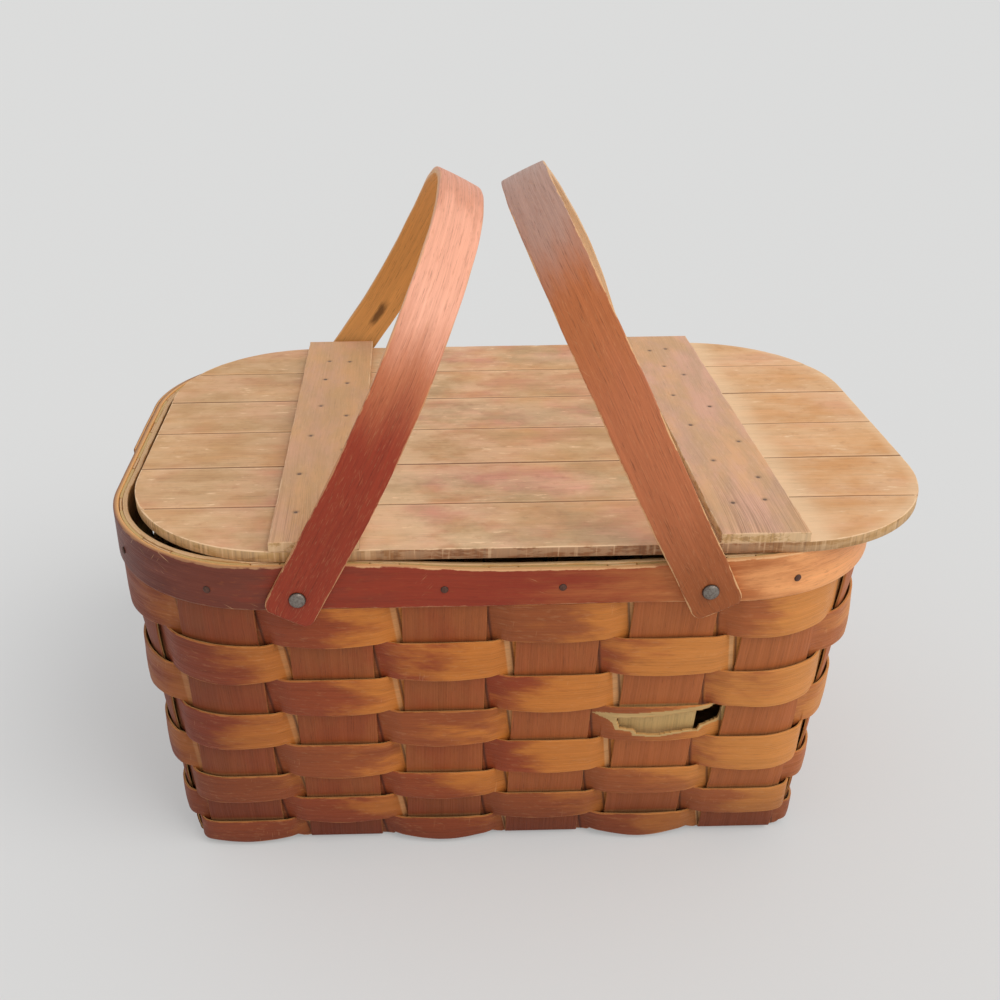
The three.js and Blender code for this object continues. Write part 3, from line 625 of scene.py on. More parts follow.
def dip_at(sizes, x, y):
    """How far the rim's top lies under its level: a soft hollow along the front, right of the middle."""
    front = soft((-y - sizes.rim_depth * 0.38) / 0.02)
    hollow = soft((x + 0.1) / 0.09) * soft((0.14 - x) / 0.1)
    return sizes.rim_dip * front * hollow


def even(start, end):
    """Distances from start to end, about 4 mm apart."""
    return np.linspace(start, end, int(abs(end - start) / 0.004) + 8)


def band(wall, name, distance, near, far, seed, keep=None, top_drop=0.0):
    """A bent band round the rim between two offsets: its section is a bar with rounded edges."""
    sizes = wall.sizes
    height = sizes.rim_top - sizes.rim_bottom
    across = lines_across(height, 0.0009, 10)
    along = distance[:, None]
    level = np.broadcast_to(sizes.rim_bottom + height / 2 + across, (len(distance), len(across)))
    points, outward = wall.at(along, level)
    up = across / height + 0.5
    uneven = wander(along, seed, 0.19, 0.0003) * up + wander(along, seed + 1, 0.23, 0.0003) * (1 - up)
    points[..., 2] += uneven - dip_at(sizes, points[..., 0], points[..., 1]) * up - top_drop * up
    points[..., 2] = np.minimum(points[..., 2], sizes.rim_top)
    half = (far - near) / 2 * rounding(edge_distance(across, height), 0.0009, 0.6)
    middle = (near + far) / 2 + wander(along, seed + 2, 0.16, 0.00018)
    outer = points + outward * (middle + half)[..., None]
    inner = points + outward * (middle - half)[..., None]
    from_end = np.minimum(along - distance[0], distance[-1] - along)
    edge = np.minimum(edge_distance(across, height), from_end + 0.0005)
    return shell(name, outer, inner, wood_values(along, across, seed, edge, across / height * 2), keep)


def rim(wall):
    """Outer and inner band, the outer band's lapped end, and the filler strips between the bands."""
    sizes, seat, face = wall.sizes, wall.seat, wall.face
    quarter = wall.quarter(sizes.rim_bottom)
    whole = even(-2 * quarter + 0.0004, 2 * quarter - 0.0004)
    outer = band(wall, "rim_outside", whole, seat, face, 81)
    dress(outer, "Rim Band", "rim_wood", "basket_body", "outer_rim_band")
    inner = band(wall, "rim_inside", whole, -seat - sizes.inner_band, -seat, 85)
    dress(inner, "Inner Band", "inner_wood", "basket_body", "inner_rim_band")
    back = even(-1.75 * quarter, -quarter + 0.006)
    lap = band(wall, "rim_lap", back, face + 0.0001, face + 0.0016, 88, top_drop=0.0004)
    dress(lap, "Rim Band", "rim_wood", "basket_body")
    distances, keep = [], []
    for k in range(STOPS):
        after = (k + 1) % STOPS
        low = wall.stop(k, sizes.rim_top) + wall.width[k] / 2 + 0.0009
        high = wall.stop(after, sizes.rim_top) - wall.width[after] / 2 - 0.0009
        steps = np.linspace(low, high + (4 * quarter if after == 0 else 0), 16)
        distances.append(steps)
        keep.append([True] * 15 + [False])
    keep = np.repeat(np.concatenate(keep)[:-1, None], len(lines_across(1.0, 0.1, 10)) - 1, 1)
    filler = band(wall, "rim_filler", np.concatenate(distances), -0.0007, 0.0007, 120, keep, 0.0005)
    dress(filler, "Inner Band", "inner_wood", "basket_body")


# Handles


def handle(wall, side, sign, lean, twist):
    """A rounded strip that follows its legs and half circle, drawn about its pivot and leaned in.

    Its back leg is bowed sideways by twist: half a sine wave from the rivet to the crown.
    """
    sizes = wall.sizes
    seat = sizes.splint / 2 + 2 * sizes.gap + sizes.outer_band + sizes.handle_thickness / 2
    half_span = wall.rim[1] + seat
    leg = np.linspace(-sizes.handle_tail, sizes.handle_leg, 24)
    leg = np.concatenate([[-sizes.handle_tail + step for step in (0, 0.0004, 0.0012)], leg[1:]])
    turn = np.linspace(0, np.pi, 90)
    y = np.concatenate([np.full(len(leg), -1.0), -np.cos(turn[1:-1]), np.ones(len(leg))]) * half_span
    z = np.concatenate([leg, sizes.handle_leg + np.sin(turn[1:-1]) * half_span, leg[::-1]])
    side_y = np.concatenate([np.full(len(leg), -1.0), -np.cos(turn[1:-1]), np.ones(len(leg))])
    side_z = np.concatenate([np.zeros(len(leg)), np.sin(turn[1:-1]), np.zeros(len(leg))])
    along = np.concatenate([[0], np.cumsum(np.hypot(np.diff(y), np.diff(z)))])
    whole = along[-1]
    near_end = np.minimum(along, whole - along)
    cut = np.clip(1 - near_end / 0.003, 0, 1) * 0.003
    across = lines_across(sizes.handle_width, 0.0009, 14)
    width = 1 - 2 * cut[:, None] / sizes.handle_width
    bow = twist * np.sin(np.pi * z / z.max()) * (y > 0)
    x = across[None, :] * width + (wander(along, 90 + int(sign), 0.16, 0.0004) + bow)[:, None]
    edge = np.minimum(edge_distance(across, sizes.handle_width)[None, :], near_end[:, None] + 0.0003)
    half = sizes.handle_thickness / 2 * rounding(edge, 0.0009, 0.62)
    cup = 0.0004 * (across / sizes.handle_width * 2) ** 2

    def face(shift):
        return join(x, y[:, None] + side_y[:, None] * shift, z[:, None] + side_z[:, None] * shift)

    outer, inner = face(half - cup), face(-half)
    turned = np.array(Matrix.Rotation(lean, 3, "Y"))
    place = np.array([sign * sizes.pivot_offset + basket_x, 0, sizes.rim_top - sizes.rivet_drop])
    outer, inner = outer @ turned.T + place, inner @ turned.T + place
    # The rise sets the handle's colour from rivet to crown, with a painted highlight on the left handle's
    # upper part.
    rise, tint = (z / z.max())[:, None], (1.0 + sign) / 2
    values = wood_values(along[:, None], across, 11.3 + sign, edge, rise, tint, step=2.8)
    piece = shell(f"{side}_bent_handle", outer, inner, values)
    dress(piece, "Bent Handle", "handle_wood", f"handle_{side}", f"{side}_handle")


# Lid


def outline_distance(x, y, half_x, half_y, radius):
    """Distance of points inside a rounded rectangle to its outline."""
    away_x, away_y = np.abs(x) - (half_x - radius), np.abs(y) - (half_y - radius)
    corner = np.hypot(np.maximum(away_x, 0), np.maximum(away_y, 0))
    return radius - np.where((away_x > 0) | (away_y > 0), corner, np.maximum(away_x, away_y))


def lid_board(sizes, number, place):
    """One board as two height fields over the same points: grid lines that would leave the rounded
    outline are pressed against it, and the top sinks at its edges, its joints and its scored line."""
    half_x, half_y, middle_x = (lid_high[0] - lid_low[0]) / 2, back_high[1], (lid_high[0] + lid_low[0]) / 2
    radius = sizes.lid_corner
    board = 2 * half_y / 3
    seam = 0.00015
    low = -half_y + number * board + (0 if number == 0 else seam)
    high = low + board - (2 * seam if number == 1 else seam)
    theta = np.linspace(0, np.pi / 2, 34)[1:-1]
    ends = half_x - radius + radius * np.sin(theta)
    near_end = half_x - np.array([0.0016, 0.0009, 0.00045, 0.0002, 0.00005, 0])
    ends = np.concatenate([ends[ends < near_end[0] - 0.0004], near_end])
    straight = np.linspace(-(half_x - radius), half_x - radius, 90)
    x = np.concatenate([-ends[::-1], straight, ends])
    score = (low + high) / 2
    steps = np.array([0, 0.00005, 0.0002, 0.00045, 0.0009, 0.0016])
    score_lines = score + np.array([-0.0012, -0.0007, -0.0003, 0, 0.0003, 0.0007, 0.0012])
    first = np.linspace(low + steps[-1], score_lines[0], 12)[1:-1]
    second = np.linspace(score_lines[-1], high - steps[-1], 12)[1:-1]
    y = np.concatenate([low + steps, first, score_lines, second, high - steps[::-1]])
    into_corner = np.clip(np.abs(x) - half_x + radius, 0, None)
    reach = half_y - radius + np.sqrt(np.clip(radius ** 2 - into_corner ** 2, 0, None))
    order = np.arange(len(y))
    stack = np.minimum(order, 6) * 0.00022 + np.maximum(order - 6, 0) * 0.00005
    front = -reach[:, None] + stack
    back = reach[:, None] - stack[::-1]
    depth = np.minimum(np.maximum(y[None, :], front), back)
    along = np.broadcast_to(x[:, None], depth.shape)
    distance = np.clip(outline_distance(along, depth, half_x, half_y, radius), 0, None)
    inner_edges = (high - depth, np.minimum(depth - low, high - depth), depth - low)
    joint = np.clip(inner_edges[number], 0, None)
    bottom = lid_low[2]
    top = bottom + sizes.board
    away = np.minimum(distance, joint + 0.00005)
    rounded = sunk_edge(away, 0.0005)
    groove = 0.0009 * np.exp(-((depth - score) / 0.00042) ** 2)
    warp = wander(along[:, 0] + 0.2, 30 + number, 0.33, 0.00025)[:, None] * np.ones_like(depth)
    ripple = wander(depth[0], 33 + number, 0.021, 0.00012)[None, :]
    dents = 0.0006 * np.clip(wander(along, 35 + number, 0.019, 1) * 0.9 - 0.4, 0, 1) * (distance < 0.0012)
    high_face = top - rounded - groove + np.minimum(warp + ripple, 0) - dents
    low_face = bottom + rounded * 0.6
    outer = join(along + middle_x, depth, high_face)
    inner = join(along + middle_x, depth, low_face)
    seed = 20.0 + number * 4.3 + (depth > score) * 1.7
    lines = np.minimum(joint, np.abs(depth - score))
    piece = shell(f"board_{place}", outer, inner, wood_values(along, depth, seed, distance, lines, shift=0.0))
    dress(piece, "Lid Boards", "lid_board_wood", "lid_panel", f"lid_board_{place}")


def nail_places(side):
    """Places of a batten's nails on its top, from their shares of its width and half depth."""
    low, high = (np.array(corner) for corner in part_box(f"lid_batten_{side}"))
    shares = np.array(BATTEN_NAILS[side])
    return join(
        (low[0] + high[0]) / 2 + (high[0] - low[0]) * shares[:, 0],
        (low[1] + high[1]) / 2 + (high[1] - low[1]) / 2 * shares[:, 1],
        high[2],
    )


def batten(side, seed):
    """A flat bar across the boards, its top a height field that falls off round its edges and sinks
    in a bell-shaped dimple at each nail."""
    low, high = (np.array(corner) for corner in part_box(f"lid_batten_{side}"))
    steps = np.array([0, 0.00006, 0.00025, 0.0006, 0.0012])
    width, depth = high[0] - low[0], high[1] - low[1]
    x = with_edges(steps, width, 42)
    y = with_edges(steps, depth, 230)
    across, along = np.meshgrid(x, y)
    away = np.minimum(np.minimum(across, width - across), np.minimum(along, depth - along))
    rounded = sunk_edge(away, 0.0006)
    edge_wave = wander(along, seed, 0.06, 0.00025) * np.sign(across - width / 2) * (away < 0.0011)
    chips = 0.0007 * np.clip(wander(along, seed + 1, 0.019, 1) - 0.55, 0, 1) * (away < 0.0007)
    spots = nail_places(side)
    gaps = (across + low[0])[..., None] - spots[:, 0], (along + low[1])[..., None] - spots[:, 1]
    dimple = np.exp(-((gaps[0] ** 2 + gaps[1] ** 2) / 0.0021 ** 2)).max(axis=-1)
    top = high[2] - rounded - chips + np.minimum(wander(along, seed + 2, 0.13, 0.0002), 0) - 0.0005 * dimple
    px = low[0] + across + edge_wave
    outer = join(px, low[1] + along, top)
    inner = join(px, low[1] + along, np.full_like(top, low[2]) + 0.00002)
    values = wood_values(along, across, seed * 0.7, away, along / depth, (dimple, 0.0), shift=0.0)
    piece = shell(f"batten_{side}", outer, inner, values)
    dress(piece, "Lid Battens", "lid_batten_wood", "lid_panel", f"lid_batten_{side}")


# Metal


# Least radius of a turned profile, which closes its ends without points that fall together.
AXIS = 0.00002


def metal_piece(name, profile, places, directions, sides):
    """Discs and domes as one mesh: a profile of radius and reach, turned round each direction."""
    profile = np.array(profile)
    angle = np.linspace(0, 2 * np.pi, sides, endpoint=False)
    rows = np.arange(len(profile) - 1)[:, None] * sides
    ring = np.arange(sides)[None, :]
    following = (ring + 1) % sides
    faces = np.stack([rows + ring, rows + following, rows + sides + following, rows + sides + ring], -1)
    points, quads = [], []
    for number, (place, direction) in enumerate(zip(places, directions)):
        direction = np.array(direction, float)
        across = np.cross(direction, [0, 0, 1.0] if abs(direction[2]) < 0.9 else [1.0, 0, 0])
        across /= np.linalg.norm(across)
        other = np.cross(direction, across)
        circle = np.cos(angle)[:, None] * across + np.sin(angle)[:, None] * other
        body = profile[:, 0, None, None] * circle + profile[:, 1, None, None] * direction
        points.append(body.reshape(-1, 3) + np.array(place))
        quads.append(faces.reshape(-1, 4) + number * len(profile) * sides)
    quads = np.concatenate(quads)
    reach = np.tile(np.repeat(profile[:, 0], sides), len(places))
    values = {"edge": profile[:, 0].max() - reach}
    return new_piece(name, np.concatenate(points), quads, np.zeros(len(quads), bool), values)


def head(radius, height, reach, sunk):
    """Profile of a domed head on a short shank: a quarter ellipse from rim to crown, closed at both ends."""
    angle = np.linspace(0, np.pi / 2, 7)
    dome = [(radius * np.cos(a) ** 0.8, reach + height * np.sin(a)) for a in angle[:-1]]
    shank = [(AXIS, reach - sunk), (radius * 0.45, reach - sunk), (radius * 0.45, reach)]
    return [*shank, (radius * 0.96, reach), *dome, (AXIS, reach + height)]


# Radius and depth of a washer and the peened tip in it, from the inner band's face.
WASHER = (
    (0.0021, 0.0), (0.0052, 0.0), (0.0052, 0.0007), (0.0049, 0.001), (0.0032, 0.001), (0.003, 0.0016),
    (0.0022, 0.0019), (AXIS, 0.0019), (AXIS, 0.0), (0.0021, 0.0),
)


def rivets(wall):
    """Rivets with domed heads, darkened round their rims by dirt and painted shade, and their washers and
    peened tips inside the rim.
    """
    sizes = wall.sizes
    seat = sizes.splint / 2 + 2 * sizes.gap + sizes.outer_band + sizes.handle_thickness
    inside_face = -(sizes.splint / 2 + 2 * sizes.gap + sizes.inner_band)
    rivet = head(0.0046, 0.0022, seat + 0.0003, 0.011)
    washer = [(radius, inside_face - depth) for radius, depth in WASHER]
    for face, side_y in (("front", -1), ("back", 1)):
        for side, sign in (("left", -1), ("right", 1)):
            x = sign * sizes.pivot_offset + basket_x
            place = (x, side_y * wall.rim[1], sizes.rim_top - sizes.rivet_drop)
            for name, node, profile in (("rivet_head", "rivet", rivet), ("washer", "rivet_washer", washer)):
                piece = metal_piece(f"{name}_{face}_{side}", profile, [place], [(0, side_y, 0)], 32)
                dress(piece, "Rivet Metal", "rivet_metal", "basket_body", f"{node}_{face}_{side}")


def rim_nails(wall):
    """Nails through the rim: one at each upright, apart from those that carry a rivet."""
    sizes = wall.sizes
    places, directions = [], []
    for k in range(STOPS):
        if k % (CROSS + END) in (1, 4):
            continue
        point, outward = wall.at(wall.stop(k, sizes.rim_top), sizes.rim_top)
        point[2] = sizes.rim_top - 0.0155
        places.append(point)
        directions.append(outward)
    profile = head(0.0021, 0.0009, wall.face + 0.0001, 0.006)
    piece = metal_piece("rim_nail_heads", profile, places, directions, 14)
    names = [f"rim_nail_{number:02d}" for number in range(1, len(places) + 1)]
    dress(piece, "Nail Metal", "nail_metal", "basket_body", *names)


# Places of the nails, in shares of a batten's width and of half its depth.
BATTEN_NAILS = {
    "left": [
        (-0.14, 0.73), (0.17, 0.72), (-0.16, 0.5), (0.17, 0.45), (-0.16, 0.19), (0.21, 0.08),
        (-0.23, -0.12), (0.22, -0.26), (-0.29, -0.47), (0.2, -0.55), (-0.25, -0.78), (0.24, -0.82),
    ],
    "right": [
        (-0.2, 0.8), (0.06, 0.82), (-0.11, 0.59), (0.11, 0.48), (-0.21, 0.24), (0.21, 0.11),
        (-0.19, -0.08), (0.31, -0.25), (-0.15, -0.42), (0.28, -0.57), (-0.19, -0.77), (0.2, -0.75),
    ],
}


def batten_nails(side):
    """Small flat nails, sunk in their dimples along a batten."""
    sunk = 0.0006
    places = nail_places(side) - np.array([0, 0, sunk])
    profile = head(0.0013, 0.0003, 0.0, 0.003)
    piece = metal_piece(f"batten_nails_{side}", profile, places, [(0, 0, 1)] * len(places), 12)
    dress(piece, "Worn Nail Metal", "nail_metal", "lid_panel")


# Materials


def dress(piece, material, slot, body, *nodes):
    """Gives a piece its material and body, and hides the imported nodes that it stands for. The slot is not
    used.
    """
    if material not in bpy.data.materials:
        made = bpy.data.materials.new(material)
        made.use_nodes = True
        paint, *values = MATERIALS[material]
        paint(Paint(made.node_tree), *values)
    piece.data.materials.append(bpy.data.materials[material])
    if nodes:
        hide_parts(*nodes)
    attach(piece, body)


class Tree:
    """Adds nodes to a node tree and links them. A colour can be given by its name in BasketColours."""

    def __init__(self, tree):
        self.tree = tree

    def add(self, kind, *values, **settings):
        """A node whose inputs, in order, are linked or set."""
        node = self.tree.nodes.new(kind)
        for key, value in settings.items():
            setattr(node, key, value)
        for socket, value in zip(node.inputs, values):
            self.put(socket, value)
        return node

    def put(self, socket, value):
        if isinstance(value, bpy.types.NodeSocket):
            self.tree.links.new(value, socket)
            return
        if isinstance(value, str):
            value = getattr(bpy.context.scene.basket_colours, value)
        socket.default_value = (*value, 1.0) if socket.type == "RGBA" else value

    def math(self, operation, *values):
        return self.add("ShaderNodeMath", *values, operation=operation).outputs[0]

    def product(self, first, *others):
        for other in others:
            first = self.math("MULTIPLY", first, other)
        return first

    def total(self, start, *pairs):
        """A start value plus values times their weights."""
        for value, weight in pairs:
            start = self.math("ADD", start, self.product(value, weight))
        return start

    def span(self, value, low, high, start=0.0, end=1.0):
        """Smooth change from start to end while value goes from low to high."""
        node = self.add("ShaderNodeMapRange", value, low, high, start, end, interpolation_type="SMOOTHSTEP")
        return node.outputs[0]

    def mix(self, factor, first, second, blend="MIX"):
        node = self.add("ShaderNodeMix", factor, data_type="RGBA", blend_type=blend)
        self.put(node.inputs[6], first)
        self.put(node.inputs[7], second)
        return node.outputs[2]

    def noise(self, vector, scale, detail=3.0, roughness=0.55):
        node = self.add("ShaderNodeTexNoise", vector)
        node.inputs["Scale"].default_value = scale
        node.inputs["Detail"].default_value = detail
        node.inputs["Roughness"].default_value = roughness
        return node.outputs["Fac"]

    def stretch(self, vector, *scale):
        return self.add("ShaderNodeVectorMath", vector, scale, operation="MULTIPLY").outputs[0]

    def value(self, name):
        return self.add("ShaderNodeAttribute", attribute_name=name).outputs["Fac"]

    def group(self, name, **values):
        """Outputs of a shared node group, which is built the first time that it is asked for."""
        if name not in bpy.data.node_groups:
            GROUPS[name](name)
        node = self.add("ShaderNodeGroup", node_tree=bpy.data.node_groups[name])
        for label, value in values.items():
            self.put(node.inputs[label.replace("_", " ").title()], value)
        return node.outputs


def new_group(name, inputs, outputs):
    """A node group whose inputs have the given defaults, as a Tree and its two end nodes."""
    group = bpy.data.node_groups.new(name, "ShaderNodeTree")
    for label, default in inputs.items():
        kind = "NodeSocketFloat" if isinstance(default, float) else "NodeSocketVector"
        group.interface.new_socket(label, in_out="INPUT", socket_type=kind).default_value = default
    for label in outputs:
        group.interface.new_socket(label, in_out="OUTPUT", socket_type="NodeSocketFloat")
    tree = Tree(group)
    return tree, tree.add("NodeGroupInput").outputs, tree.add("NodeGroupOutput").inputs


def grain_group(name):
    """Long fibres, fine pores and broad growth bands that run along a splint."""
    tree, given, out = new_group(
        name, {"Vector": (0, 0, 0), "Band Width": 1.0, "Flow": 1.0}, ("Fibres", "Pores", "Bands", "Height"))
    drift = tree.noise(tree.stretch(given["Vector"], 5.0, 14.0, 1.0), 1.0, 2.0)
    drift = tree.product(tree.math("SUBTRACT", drift, 0.5), tree.product(given["Flow"], 0.012))
    sideways = tree.add("ShaderNodeCombineXYZ", 0.0, drift, 0.0).outputs[0]
    moved = tree.add("ShaderNodeVectorMath", given["Vector"], sideways, operation="ADD").outputs[0]
    fibres = tree.noise(tree.stretch(moved, 14.0, 1500.0, 3.0), 1.0, 4.0, 0.65)
    pores = tree.noise(tree.stretch(moved, 90.0, 2600.0, 5.0), 1.0, 2.0, 0.5)
    widths = tree.add("ShaderNodeCombineXYZ", 1.0, given["Band Width"], 1.0).outputs[0]
    wide = tree.stretch(moved, 3.0, 190.0, 2.0)
    wide = tree.add("ShaderNodeVectorMath", wide, widths, operation="DIVIDE").outputs[0]
    bands = tree.noise(wide, 1.0, 3.0, 0.6)
    dark = tree.span(pores, 0.6, 0.7)
    tree.put(out["Fibres"], tree.span(fibres, 0.3, 0.7))
    tree.put(out["Pores"], dark)
    tree.put(out["Bands"], tree.span(bands, 0.36, 0.64))
    tree.put(out["Height"], tree.total(0.0, (fibres, 0.8), (dark, -0.35), (bands, 0.4)))


def wear_group(name):
    """Wear along edges: broken up by noise within the given reach, and gone altogether in places."""
    tree, given, out = new_group(name, {"Vector": (0, 0, 0), "Distance": 0.0, "Reach": 0.0012}, ("Wear",))
    broad = tree.noise(tree.stretch(given["Vector"], 45.0, 90.0, 1.0), 1.0, 4.0, 0.7)
    fine = tree.noise(tree.stretch(given["Vector"], 260.0, 1200.0, 1.0), 1.0, 2.0)
    part = tree.span(broad, 0.38, 0.66)
    reach = tree.product(given["Reach"], tree.total(0.0, (part, 0.8), (fine, 0.4)))
    left = tree.math("DIVIDE", given["Distance"], tree.math("ADD", reach, 0.00002))
    tree.put(out["Wear"], tree.product(tree.span(left, 1.25, 0.55), tree.span(part, 0.0, 0.45, 0.15, 1.0)))


def patch_group(name):
    """Cloudy patches in a chosen size: faded and darker areas of old stain."""
    tree, given, out = new_group(
        name, {"Vector": (0, 0, 0), "Stretch": (1, 1, 1), "Seed": 0.0}, ("Patches", "Spots"))
    vector = given["Vector"]
    for name, operation in (("Stretch", "MULTIPLY"), ("Seed", "ADD")):
        vector = tree.add("ShaderNodeVectorMath", vector, given[name], operation=operation).outputs[0]
    tree.put(out["Patches"], tree.span(tree.noise(vector, 1.0, 5.0, 0.62), 0.36, 0.64))
    tree.put(out["Spots"], tree.span(tree.noise(vector, 7.0, 3.0, 0.6), 0.56, 0.7))


def scratch_group(name):
    """Fine light scratches at slight angles to the grain, in a few places only."""
    tree, given, out = new_group(name, {"Vector": (0, 0, 0)}, ("Scratches",))
    masks = []
    for angle, layer in ((0.5, 1.0), (-0.9, 4.0)):
        turned = tree.add("ShaderNodeVectorRotate", given["Vector"], rotation_type="Z_AXIS")
        turned.inputs["Angle"].default_value = angle
        lines = tree.noise(tree.stretch(turned.outputs[0], 70.0, 1500.0, layer), 1.0, 1.0)
        where = tree.noise(tree.stretch(given["Vector"], 30.0, 45.0, layer), 1.0, 2.0)
        masks.append(tree.product(tree.span(lines, 0.68, 0.76), tree.span(where, 0.56, 0.68)))
    tree.put(out["Scratches"], tree.math("MAXIMUM", *masks))


GROUPS = {
    "Splint Grain": grain_group,
    "Edge Wear": wear_group,
    "Stain Patches": patch_group,
    "Scratches": scratch_group,
}


class Paint(Tree):
    """A material's nodes: the inputs of its shader, and a base colour that is laid on in layers."""

    def __init__(self, tree):
        super().__init__(tree)
        self.shader = tree.nodes["Principled BSDF"].inputs
        self.base = None

    def begin(self, band_width, flow):
        """Reads where a point lies in the grain and on the object, and makes the grain."""
        self.along = self.add("ShaderNodeAttribute", attribute_name="grain").outputs["Vector"]
        coordinates = self.add("ShaderNodeTexCoord").outputs
        self.place = coordinates["Object"]
        self.x, _, self.z = self.add("ShaderNodeSeparateXYZ", self.place).outputs
        self.facing = self.add("ShaderNodeSeparateXYZ", coordinates["Normal"]).outputs["Z"]
        self.grain = self.group("Splint Grain", vector=self.along, band_width=band_width, flow=flow)

    def patches(self, along, across, seed):
        """Masks of cloudy patches and of small spots, each the smaller the larger along and across are."""
        made = self.group("Stain Patches", vector=self.along, stretch=(along, across, 3.0), seed=seed)
        return made["Patches"], made["Spots"]

    def wear(self, reach):
        return self.group("Edge Wear", vector=self.along, distance=self.value("edge"), reach=reach)["Wear"]

    def scratches(self):
        return self.group("Scratches", vector=self.along)["Scratches"]

    def lay(self, shade, *factors):
        """Covers the base with a colour by the product of the factors."""
        self.base = self.mix(self.product(*factors), self.base, shade)

    def darker(self, shade, fibre=0.22, pore=0.4, band=0.18):
        """A colour made darker in the fibres' troughs, the pores and every second growth band."""
        troughs = self.math("SUBTRACT", 1.0, self.grain["Fibres"])
        light = self.total(
            1.0 + fibre / 2, (troughs, -fibre), (self.grain["Pores"], -pore), (self.grain["Bands"], -band))
        grey = self.add("ShaderNodeCombineColor", light, light, light).outputs[0]
        return self.mix(1.0, shade, grey, "MULTIPLY")

    def saw(self, brown):
        """Gives the sides of boards an olive-tan colour, brown where asked, with upright saw marks."""
        ticks = self.noise(self.stretch(self.place, 520.0, 520.0, 25.0), 1.0, 3.0, 0.6)
        sawn = self.mix(brown, "lid_edge", "edge_brown")
        sawn = self.mix(self.span(ticks, 0.48, 0.66, 0.0, 0.5), sawn, "joint")
        sawn = self.mix(self.span(ticks, 0.44, 0.34, 0.0, 0.35), sawn, "lid_pale")
        self.lay(sawn, self.span(self.math("ABSOLUTE", self.facing), 0.7, 0.35))

    def finish(self, roughness, height, strength, depth):
        """Links the base colour, the roughness and the relief to the shader."""
        self.put(self.shader["Base Color"], self.base)
        self.put(self.shader["Roughness"], roughness)
        bump = self.add("ShaderNodeBump")
        bump.inputs["Strength"].default_value = strength
        bump.inputs["Distance"].default_value = depth
        self.put(bump.inputs["Height"], height)
        self.put(self.shader["Normal"], bump.outputs[0])

    def finish_wood(self, rough, strength=0.35):
        """Dull wood, smoother on its fibres, which stand out a little."""
        self.shader["Specular IOR Level"].default_value = 0.26
        rough = self.span(self.grain["Fibres"], 0.0, 1.0, rough + 0.1, rough - 0.08)
        self.finish(rough, self.grain["Height"], strength, 0.0005)


def weaver_wood(wood):
    """Stained weavers: red-brown at the left of each span and amber at its right, partly stain and partly
    painted light and shade; lighter towards the basket's lit right end, darker towards its left end and
    bottom, with painted shade where spans pass behind uprights; now and then a cream end.
    """
    wood.begin(band_width=1.0, flow=1.0)
    tone, tint = wood.value("tone"), wood.value("tint")
    patches, spots = wood.patches(22.0, 75.0, seed=2.0)
    cloud, _ = wood.patches(11.0, 24.0, seed=8.0)
    # The basket's right end and each span's right half are painted lighter, its left end and low wall darker:
    # partly stain, partly painted light and shade.
    right = wood.span(wood.x, -0.02, 0.2)
    low = wood.span(wood.z, 0.075, 0.0)
    pale = wood.mix(wood.product(right, 0.75), "amber", "honey")
    glow = wood.total(
        0.0, (tone, 0.75), (patches, 0.45), (cloud, 0.5), (tint, 0.85), (wood.x, 2.4), (low, -0.5))
    wood.base = wood.mix(tint, "stain_brown", "rust")
    wood.lay("pale_stain_and_light", right, 0.8)
    wood.lay(pale, wood.span(glow, 0.5, 1.35))
    left = wood.span(wood.x, -0.08, -0.22)
    wood.lay("dark_stain_and_shade", wood.math("MAXIMUM", left, wood.product(low, 0.9)), 0.6)
    wood.lay("worn", spots, 0.1)
    sunny = wood.span(wood.x, -0.2, 0.05, 0.2, 0.6)
    wood.lay("worn", wood.span(tone, 0.88, 0.91), wood.span(tint, 0.6, 0.62), sunny)
    wood.base = wood.darker(wood.base, 0.14, 0.22, 0.1)
    wood.lay(wood.darker("cream", 0.2, 0.3, 0.1), wood.value("bare"))
    wood.lay("honey", wood.wear(0.0009), 0.38)
    wood.lay("worn", wood.scratches(), 0.22)
    # Painted shade where each span tucks behind an upright.
    wood.lay("dirt_and_shade", wood.span(wood.math("ABSOLUTE", tone), 0.955, 1.0), 0.7)
    wood.finish_wood(0.5)


def upright_wood(wood):
    """Uprights: plain red-brown with fine upright grain, lighter towards the right and darker towards the
    left and the bottom, partly stain and partly painted light and shade, bare and pale where the torn weaver
    covered them.
    """
    wood.begin(band_width=0.9, flow=0.8)
    patches, _ = wood.patches(26.0, 40.0, seed=5.0)
    wood.base = wood.mix(wood.product(patches, 0.5), "stain_brown", "rust")
    # Partly stain, partly painted light at the right and painted shade at the left and the bottom.
    wood.lay("pale_stain_and_light", wood.span(wood.x, -0.08, 0.12, 0.0, 0.75))
    wood.lay("dark_stain_and_shade", wood.span(wood.x, -0.08, -0.22, 0.0, 0.6))
    wood.lay("dark_stain_and_shade", wood.span(wood.z, 0.07, 0.0, 0.0, 0.8))
    wood.lay("cream", wood.value("bare"), 0.95)
    wood.base = wood.darker(wood.base, 0.16, 0.24, 0.1)
    wood.lay("honey", wood.wear(0.0008), 0.16)
    wood.finish_wood(0.56)


